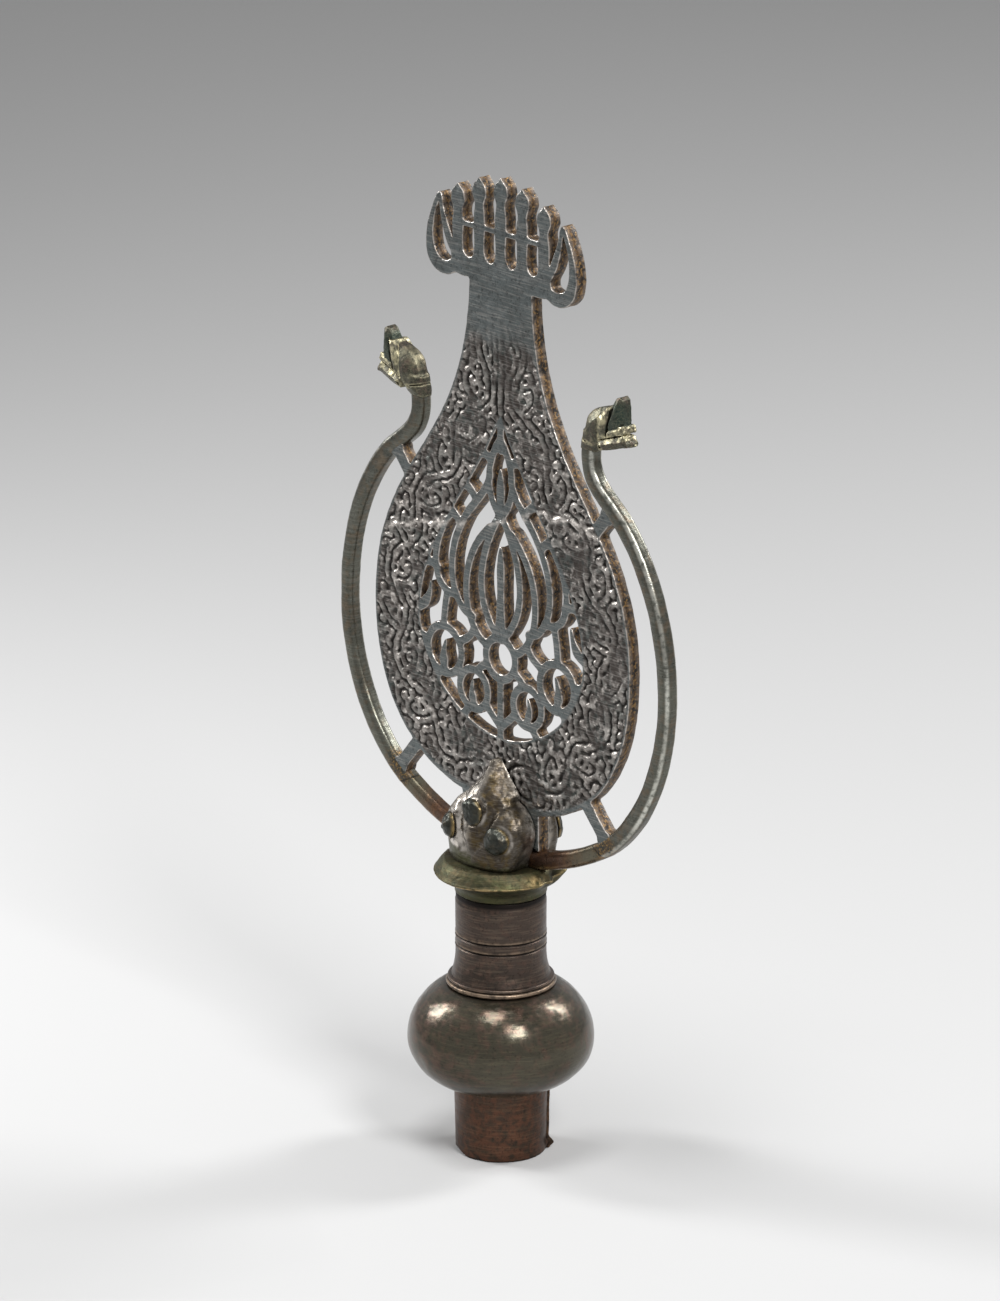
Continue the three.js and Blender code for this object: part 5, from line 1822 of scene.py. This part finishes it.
@dataclass
class Blade:
    """The cast blade: pierced plate, relief field, crest and struts, as one closed mesh.

    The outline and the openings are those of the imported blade, smoothed and drawn finer.
    """

    hoop: Hoop
    plate_z: float = 124.4
    outline_step: float = 0.78
    field_step: float = 0.57
    plain_step: float = 1.1
    stroke_period: float = 2.9
    relief_deep: float = 0.7
    neck_half: float = 15.4
    plate_height: float = 179.6
    bevel: float = 0.42
    corner_deg: float = 34.0
    trace_step: float = 0.15  # Between the points of a smoothed outline.
    map_step: float = 0.2  # Between the points that are stamped on the maps.
    map_reach: float = 3.2  # How far the maps tell the distance to an edge.
    raster: Raster = field(default_factory=Raster)

    # A raised run of metal where the casting was mended, across the plate from left to right.
    seam: ClassVar = [
        (-58, 83), (-53, 85.4), (-40.2, 89.7), (-25, 92.2), (-12, 95.9), (2.4, 100),
        (20.6, 105.9), (34.3, 106.7), (48.8, 103.9),
    ]

    def build(self) -> None:
        """Makes the blade."""
        loops = [self._smoothed(loop) for loop in self._front_loops()]
        whole = [loop for loop in loops if len(loop) > 8]
        self._mesh(whole).piece("pierced_blade", BLADE_BRASS, "blade_brass", "blade")

    def _front_loops(self) -> list[np.ndarray]:
        """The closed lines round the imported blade's front face, metal on their left.

        Returns:
            X and Z of each line's corners.
        """
        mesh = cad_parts["blade"].data
        places = np.empty(3 * len(mesh.vertices))
        mesh.vertices.foreach_get("co", places)
        corners = np.empty(len(mesh.loops), np.int32)
        mesh.loops.foreach_get("vertex_index", corners)
        points, same = np.unique(
            np.round(places.reshape(-1, 3) / MM, 3), axis=0, return_inverse=True
        )
        self.front, self.rear = points[:, 1].min(), points[:, 1].max()
        triangles = same.ravel()[corners].reshape(-1, 3)
        flat = (np.abs(points[triangles][:, :, 1] - self.front) < 0.01).all(axis=1)
        edges = self._unpaired(triangles[flat][:, [0, 1, 1, 2, 2, 0]].reshape(-1, 2))
        following = dict(edges.tolist())
        loops = []
        while following:
            start, here = following.popitem()
            loop = [start]
            while here != start:
                loop.append(here)
                here = following.pop(here)
            loops.append(points[loop][:, [0, 2]])
        return loops

    @staticmethod
    def _unpaired(edges: np.ndarray) -> np.ndarray:
        """The edges that no other triangle has the other way round."""
        known = set(map(tuple, edges.tolist()))
        return np.array([(a, b) for a, b in edges.tolist() if (b, a) not in known])

    def _smoothed(self, loop: np.ndarray) -> np.ndarray:
        """A loop as smooth curves between its corners, at even steps.

        Each side is a cubic whose slopes are the mean of the sides it joins, weighted towards
        the shorter one. At a corner each side keeps its own direction, and a short blur
        rounds the corner off as a file does.

        Args:
            loop: The corners of a closed line.

        Returns:
            Its new points, or none where the line is too small.
        """
        apart = np.linalg.norm(loop - np.roll(loop, 1, axis=0), axis=1)
        loop = loop[apart > 0.22]
        if len(loop) < 4:
            return loop[:0]
        ahead = np.roll(loop, -1, axis=0) - loop
        length = np.linalg.norm(ahead, axis=1, keepdims=True)
        leaving = ahead / length
        arriving, behind = np.roll(leaving, 1, axis=0), np.roll(length, 1, axis=0)
        turn = np.degrees(np.arccos(np.clip((leaving * arriving).sum(axis=1), -1, 1)))
        corner = (turn > self.corner_deg)[:, None]
        mean = unit(arriving * length + leaving * behind)
        leaving, arriving = np.where(corner, leaving, mean), np.where(corner, arriving, mean)
        i, t = spread(np.maximum(np.ceil(length[:, 0] / self.trace_step).astype(int), 1))
        j = (i + 1) % len(loop)
        line = hermite(
            t[:, None], loop[i], length[i] * leaving[i], loop[j], length[i] * arriving[j]
        )
        line = blurred(evenly(line, self.trace_step, closed=True), 2.3)
        line = self._brazed(line)
        place = spatial(line)
        shaky = np.stack([
            lattice_noise(place, 2.4, seed) + 0.6 * lattice_noise(place, 9.0, seed + 2)
            for seed in (131, 141)
        ], axis=1)
        return evenly(line + 0.09 * shaky, self.outline_step, closed=True)

    def _brazed(self, line: np.ndarray) -> np.ndarray:
        """The line with each strut's end carried on into the rod and spread along it.

        Args:
            line: A closed line round metal or round an opening.

        Returns:
            The same points, moved where they are near the rod.
        """
        rod = evenly(chain(self.hoop.upper_line(), self.hoop.lower_line()), 0.5)
        reach = self.hoop.rod
        moved = line.copy()
        for sign in (1, -1):
            path = rod * [sign, 1]
            side = sign * line[:, 0] > 18
            away = np.linalg.norm(line[side][:, None] - path, axis=2)
            near, least = away.argmin(axis=1), away.min(axis=1)
            close = smooth_step(reach + 2.6, reach + 0.2, least)
            inner = smooth_step(reach + 0.9, reach + 0.4, least)
            towards = unit(path[near] - line[side])
            along = line[side] - self._strut_middles(path, near, close)
            along -= (along * towards).sum(axis=1, keepdims=True) * towards
            size = np.maximum(np.linalg.norm(along, axis=1, keepdims=True), 1e-9)
            spread_out = 0.9 * close**2 * np.clip(size[:, 0] / 1.5, 0, 1)
            moved[side] += towards * (1.3 * inner)[:, None] + along / size * spread_out[:, None]
        return moved

    @staticmethod
    def _strut_middles(path: np.ndarray, near: np.ndarray, close: np.ndarray) -> np.ndarray:
        """For each point by the rod, the middle of the run of rod that its strut meets.

        Args:
            path: The rod's centre line.
            near: Number of the place on it that is nearest to each point.
            close: 1 for the points at the rod, 0 away from it.

        Returns:
            X and Z of the middle for each point.
        """
        run_gap, run_reach = 12, 8
        middles = path[near].astype(float)
        touched = np.unique(near[close > 0.5])
        if len(touched):
            for run in np.split(touched, np.flatnonzero(np.diff(touched) > run_gap) + 1):
                mid = path[int(run.mean())]
                middles[np.linalg.norm(path[near] - mid, axis=1) < run_reach] = mid
        return middles

    def _mesh(self, loops: list[np.ndarray]) -> Surface:
        """Both faces and the walls between them.

        A ring of the wall lies at the loop moved into the metal by b (1 - sin a), and at
        depth b (1 - cos a) below its face, so the edges are eased by the bevel b.

        Args:
            loops: Closed lines round the metal and its openings.

        Returns:
            The closed blade with its marks.
        """
        rim, bevel = np.vstack(loops), np.concatenate([self._bevels(loop) for loop in loops])
        count, place = len(rim), spatial(rim)
        ahead = unit(np.vstack([np.roll(p, -1, axis=0) - np.roll(p, 1, axis=0) for p in loops]))
        out = np.stack([ahead[:, 1], -ahead[:, 0]], axis=1)
        starts = np.cumsum([0] + [len(loop) for loop in loops])
        following = np.concatenate([
            start + (np.arange(len(loop)) + 1) % len(loop) for start, loop in zip(starts, loops)
        ])
        maps = self._maps(loops)
        edges = np.stack([np.arange(count), following], axis=1)
        flat, triangles = self._face(rim - out * bevel[:, None], edges, maps)
        height, marks = self._relief(flat, maps)
        thick, eased = self.rear - self.front, math.radians(35.0)
        inset, sunk = bevel * (1 - math.sin(eased)), bevel * (1 - math.cos(eased))
        ragged = 0.05 + 0.22 * np.abs(rough_noise(place, 1.7, 151))
        middle = thick * (0.5 + 0.1 * lattice_noise(place, 2.0, 155))
        # Inset, depth, wear and share of sawn wall of each ring, from the front to the back.
        rings = (
            (inset, sunk, 0.75, 0.1), (0 * bevel, bevel, 0.15, 0.85), (ragged, middle, 0, 1.0),
            (0 * bevel, thick - bevel, 0.15, 0.85), (inset, thick - sunk, 0.75, 0.1),
        )
        sheets = [
            (flat, self.front - height),
            *((rim - out * ring[0][:, None], self.front + ring[1]) for ring in rings),
            (flat, self.rear + height),
        ]
        points = np.vstack([np.stack([p[:, 0], y, p[:, 1]], axis=1) for p, y in sheets])
        firsts = [0, *(len(flat) + count * np.arange(len(rings) + 1))]
        tops = [first + np.arange(count) for first in firsts]
        strips = [
            np.stack([upper, lower, lower[following], upper[following]], axis=1)
            for upper, lower in zip(tops, tops[1:])
        ]
        faces = [triangles, triangles[:, ::-1] + firsts[-1], np.vstack(strips)]
        marks["wall"] = 0 * height
        shares = {"wear_and_glint": [ring[2] for ring in rings], "wall": [ring[3] for ring in rings]}
        for name, values in marks.items():
            around = np.repeat(shares.get(name, [0.0] * len(rings)), count)
            marks[name] = np.concatenate([values, around, values])
        return Surface(points, faces, marks).facing_out()

    def _bevels(self, loop: np.ndarray) -> np.ndarray:
        """The bevel at each point, less where the metal comes to a point.

        Args:
            loop: A closed line, metal on its left.

        Returns:
            The bevel's size at each point.
        """
        ahead = np.roll(loop, -1, axis=0) - loop
        length = np.linalg.norm(ahead, axis=1)
        now = ahead / length[:, None]
        before = np.roll(now, 1, axis=0)
        turn = np.arcsin(np.clip(before[:, 0] * now[:, 1] - before[:, 1] * now[:, 0], -1, 1))
        size = np.minimum(self.bevel, 0.55 * length / np.maximum(turn, 1e-3))
        return blurred(np.min([np.roll(size, k) for k in range(-2, 3)], axis=0), 1.2)

    def _border(self, *halves: np.ndarray) -> np.ndarray:
        """A closed line, from runs of its right half and their mirror image."""
        right = chain(*halves)
        whole = chain(right, (right * [-1, 1])[::-1]) + [0, self.plate_z]
        return evenly(whole, self.map_step, closed=True)

    def _maps(self, loops: list[np.ndarray]) -> dict[str, np.ndarray]:
        """Maps of the blade's plane that its face and relief are drawn from.

        Args:
            loops: Closed lines round the metal and its openings.

        Returns:
            inside: 1 on metal. edge: distance to the metal's edge. panel, panel_edge: the same
            for the openwork's panel. plate: distance to the plate's border, 0 outside it.
            strokes: above 0 on the relief. seam: distance to the mended seam, in its widths.
        """
        raster, step, reach = self.raster, self.map_step, self.map_reach
        line = np.vstack([evenly(loop, step, closed=True) for loop in loops])
        panel = self._border(
            bezier((0, 23), (20.25, 23), (40.5, 40), (40.5, 58), steps=40),
            bezier((40.5, 58), (40.5, 84), (14, 106), (0, 134.5), steps=50),
        )
        neck, top = self.neck_half, self.plate_height
        plate = self._border(
            bezier((0, 0), (48, 0), (63.4, 27), (63.4, 58), steps=60),
            bezier((63.4, 58), (63.4, 112), (neck + 1.2, top - 61.5), (neck, top), steps=60),
        )
        to_plate = raster.filled([plate]) * raster.nearness(plate, 1.0, reach)
        points, widths = VineScroll(self.plate_z).strokes()
        bend = np.stack([rough_noise(spatial(points), 11.0, seed) for seed in (161, 171)], axis=1)
        ridge = raster.nearness(points + 0.7 * bend, widths, 3.4)
        hold = 1.6 * (ridge < 1.0) - 1.5 * ((ridge > 1.7) & (ridge < 2.9))
        seam = evenly(np.array(self.seam) + [0, self.plate_z], step)
        place = spatial(seam)
        seam[:, 1] += 1.1 * rough_noise(place, 5.0, 176)
        seam_half = np.maximum(0.75 + 0.35 * rough_noise(place, 3.0, 177), 0.3)
        return {
            "inside": raster.filled(loops), "edge": raster.nearness(line, 1.0, reach),
            "panel": raster.filled([panel]), "panel_edge": raster.nearness(panel, 1.0, reach),
            "plate": np.minimum(to_plate, 3.0),
            "strokes": raster.strokes(hold, self.stroke_period),
            "seam": raster.nearness(seam, seam_half, 3.0),
        }

    def _face(
        self, inset: np.ndarray, edges: np.ndarray, maps: dict[str, np.ndarray]
    ) -> tuple[np.ndarray, np.ndarray]:
        """One face as triangles between the eased rim and points spread over the metal.

        Args:
            inset: The rim's points after the bevel.
            edges: Pairs of rim points.
            maps: Maps of the blade's plane.

        Returns:
            The face's points, rim first, and its triangles.
        """
        (left, low), (right, high) = self.raster.low, self.raster.high
        spots = [inset]
        for step, wanted in ((self.field_step, True), (self.plain_step, False)):
            x, z = np.arange(left, right, step), np.arange(low + 2, high - 2, step * 0.9)
            grid = np.stack(np.meshgrid(x, z, indexing="ij"), axis=2)
            grid[:, ::2, 0] += step / 2
            grid = grid.reshape(-1, 2)
            away = self.raster.read(maps["edge"], grid)
            metal = self.raster.read(maps["inside"], grid) > 0.99
            room = self.bevel + 0.45 * step
            spots.append(grid[(self._in_field(grid, maps) == wanted) & metal & (away > room)])
        points = np.vstack(spots)
        made = delaunay_2d_cdt(
            [Vector(p) for p in points.tolist()], edges.tolist(), [], 0, 1e-6, True
        )
        origin = np.array([ids[0] for ids in made[3]])
        triangles = origin[np.array([tuple(f) for f in made[2]])]
        a, b, c = (points[triangles[:, k]] for k in range(3))
        ab, ac = b - a, c - a
        clockwise = ab[:, 0] * ac[:, 1] < ab[:, 1] * ac[:, 0]
        triangles = np.where(clockwise[:, None], triangles[:, ::-1], triangles)
        keep = (triangles >= len(inset)).any(axis=1)
        middle = points[triangles[~keep]].mean(axis=1)
        keep[~keep] = self._within(middle, inset, edges)
        return points, triangles[keep]

    @staticmethod
    def _within(spots: np.ndarray, rim: np.ndarray, edges: np.ndarray) -> np.ndarray:
        """Counts how often a line from each spot crosses the rim.

        Args:
            spots: X and Z of the spots.
            rim: The rim's points.
            edges: Pairs of rim points.

        Returns:
            Whether the count is odd, so that the spot is in the metal.
        """
        a, b = rim[edges[:, 0]], rim[edges[:, 1]]
        odd = np.zeros(len(spots), bool)
        for part in batches(len(spots), 500):
            x, z = spots[part, :1], spots[part, 1:]
            spans = (a[:, 1] > z) != (b[:, 1] > z)
            with np.errstate(divide="ignore", invalid="ignore"):
                where = a[:, 0] + (z - a[:, 1]) / (b[:, 1] - a[:, 1]) * (b[:, 0] - a[:, 0])
            odd[part] = (spans & (x < where)).sum(axis=1) % 2 == 1
        return odd

    def _in_field(self, points: np.ndarray, maps: dict[str, np.ndarray]) -> np.ndarray:
        """Whether each point is in the relief field, outside the openwork and below the neck."""
        x, z = points[:, 0], points[:, 1] - self.plate_z
        outside = self.raster.read(maps["panel"], points) < 0.5
        return outside & (z > 1) & (z < 168) & (np.abs(x) < 64.5)

    def _relief(
        self, flat: np.ndarray, maps: dict[str, np.ndarray]
    ) -> tuple[np.ndarray, dict[str, np.ndarray]]:
        """Height of the face's surface over its plane, and its marks.

        Args:
            flat: X and Z of the face's points.
            maps: Maps of the blade's plane.

        Returns:
            Heights, and the marks of wear, of painted shade in the low places and of plain metal.
        """
        p, z = spatial(flat), flat[:, 1]
        at = {name: self.raster.read(np.minimum(maps[name], 9), flat) for name in maps}
        edge, panel_edge = np.minimum(at["edge"], 3), np.minimum(at["panel_edge"], 3)
        top = self.plate_z + 170
        foot = smooth_step(self.plate_z + 0.5, self.plate_z + 3, z)
        cast = rough_noise(p, 1.4, 182)
        fading = smooth_step(top, top - 16, z + 4 * rough_noise(p, 6.0, 186))
        body = smooth_step(0.7, 1.3, edge) * fading * foot * smooth_step(0.2, 0.9, at["plate"])
        body *= smooth_step(0.5, 0.0, at["panel"]) * smooth_step(0.3, 1.0, panel_edge)
        worn = smooth_step(-0.75, 0.55, rough_noise(p, 7.0, 181))
        raised = smooth_step(-1.1, 0.8, at["strokes"] + 0.5 * cast)
        rise = 0.6 + (raised - 0.6) * (0.3 + 0.7 * worn)
        height = body * (self.relief_deep * (rise - 0.85) + 0.1 * cast)
        mended = hump(at["seam"], 0, 1) * smooth_step(0.1, 0.6, edge)
        height += 0.55 * mended + (1 - body) * 0.06 * rough_noise(p, 2.2, 184)
        burr = hump(raised, 0.75, 0.2) * smooth_step(0.0, 0.5, lattice_noise(p, 2.1, 185))
        return height, {
            "wear_and_glint": np.clip(body * (0.3 * raised * worn + 0.9 * burr) + mended, 0, 1),
            # Painted shade: the relief's low places take the crevice colour.
            "sunk": np.clip(body * (0.95 - 1.9 * rise + 0.3 * cast), 0, 0.9),
            "plain": 1 - body,
        }


# The studio


def aimed(
    made: bpy.types.Object, target: Vector, azimuth: float, elevation: float, distance: float
) -> None:
    """Stands a lamp or a camera off a target and turns its Z axis away from it.

    The place is the target and the distance times (sin a cos e, -cos a cos e, sin e).

    Args:
        made: The lamp or camera.
        target: The place it is aimed at.
        azimuth: Degrees round the object from the front.
        elevation: Degrees over the horizon.
        distance: Distance in metres.
    """
    a, e = math.radians(azimuth), math.radians(elevation)
    back = Vector((math.sin(a) * math.cos(e), -math.cos(a) * math.cos(e), math.sin(e)))
    made.location = target + back * distance
    made.rotation_mode = "QUATERNION"
    made.rotation_quaternion = back.to_track_quat("Z", "Y")


@dataclass
class Softbox:
    """A soft square lamp aimed at the object.

    Attributes:
        name: The lamp's name.
        azimuth: Where it stands round the object, in degrees; 0 is in front.
        elevation: Its height over the horizon, in degrees.
        power: Its power in watts.
        size: Its sides, in metres.
        distance: Its distance, in metres.
    """

    name: str
    azimuth: float
    elevation: float
    power: float
    size: tuple[float, float]
    distance: float = 1.5

    def build(self, target: Vector) -> None:
        """Makes the lamp.

        Args:
            target: The place it is aimed at.
        """
        lamp = bpy.data.lights.new(self.name, "AREA")
        lamp.shape = "RECTANGLE"
        lamp.size, lamp.size_y = self.size
        lamp.energy = self.power
        aimed(linked(self.name, lamp), target, self.azimuth, self.elevation, self.distance)


@dataclass
class Studio:
    """A pale floor, soft lamps and a camera at the photograph's angle."""

    azimuth: float = 48.0
    elevation: float = 18.5
    distance: float = 2.5
    target_z: float = 0.170
    focal_px: float = 7484.0
    centre_px: tuple[float, float] = (501.0, 673.58)
    sensor: float = 36.0
    floor_r: float = 9.0

    def build(self) -> None:
        """Makes the floor, the lamps, the world and the camera."""
        target = Vector((0, 0, self.target_z))
        for lamp in (
            Softbox("key", 76, 42, 17, (0.45, 0.45), 1.6),
            Softbox("left_edge", -66, 26, 4.4, (0.17, 0.34), 0.8),
            Softbox("right_edge", 162, 36, 12, (0.30, 0.60), 1.5),
            Softbox("over", 20, 74, 11, (0.55, 0.55), 1.6),
        ):
            lamp.build(target)
        self._floor()
        self._world()
        self._camera(target)
        bpy.context.scene.view_settings.view_transform = "Standard"

    def _floor(self) -> None:
        """A plain pale floor, wide enough to fill the picture."""
        turn = np.linspace(0, 2 * np.pi, 96, endpoint=False)
        points = np.stack([np.cos(turn), np.sin(turn), 0 * turn], axis=1) * self.floor_r
        mesh = bpy.data.meshes.new("floor")
        mesh.from_pydata(points.tolist(), [], [list(range(len(points)))])
        paper = bpy.data.materials.new("pale_paper")
        paper.use_nodes = True
        paper.node_tree.nodes.clear()
        look = {"Base Color": linear("#c6c6c6"), "Roughness": 0.9, "Specular IOR Level": 0.1}
        shader = add_node(paper.node_tree, "BsdfPrincipled", look)
        add_node(paper.node_tree, "OutputMaterial", {"Surface": shader})
        mesh.materials.append(paper)
        floor = linked("floor", mesh)

    def _world(self) -> None:
        """Soft grey light all round, which cameras and metal see as pale paper."""
        world = bpy.data.worlds.new("studio")
        bpy.context.scene.world = world
        world.use_nodes = True
        world.node_tree.nodes.clear()
        add = partial(add_node, world.node_tree)
        seen = add("LightPath", {}, "Is Camera Ray")
        rays = seen.node.outputs
        for kind in ("Is Glossy Ray", "Is Transmission Ray"):
            seen = add("Math", {0: seen, 1: rays[kind]}, operation="MAXIMUM")
        light, pale = (
            add("Background", {"Color": linear(code), "Strength": strength})
            for code, strength in (("#bcbcbc", 0.45), ("#c8c8c8", 1.0))
        )
        mix = add("MixShader", {0: seen, 1: light, 2: pale})
        add("OutputWorld", {"Surface": mix})

    def _camera(self, target: Vector) -> None:
        """A long lens at the photograph's angle, framed as the photograph is.

        Args:
            target: The place it is aimed at.
        """
        camera = bpy.data.cameras.new("camera")
        wide, tall = PHOTO_SIZE
        camera.sensor_width = self.sensor
        camera.lens = self.focal_px * self.sensor / tall
        camera.shift_x = (wide / 2 - self.centre_px[0]) / tall
        camera.shift_y = (self.centre_px[1] - tall / 2) / tall
        camera.clip_end = 100
        made = linked("camera", camera)
        aimed(made, target, self.azimuth, self.elevation, self.distance)
        bpy.context.scene.camera = made


def main() -> None:
    """Builds the finial and its studio in order."""
    logging.basicConfig(level=logging.INFO, format="%(message)s")
    hoop = Hoop()
    Shaft().build()
    Clasp().build()
    hoop.build()
    DragonHead().build(hoop)
    Blade(hoop).build()
    Studio().build()


if __name__ == "__main__":
    main()
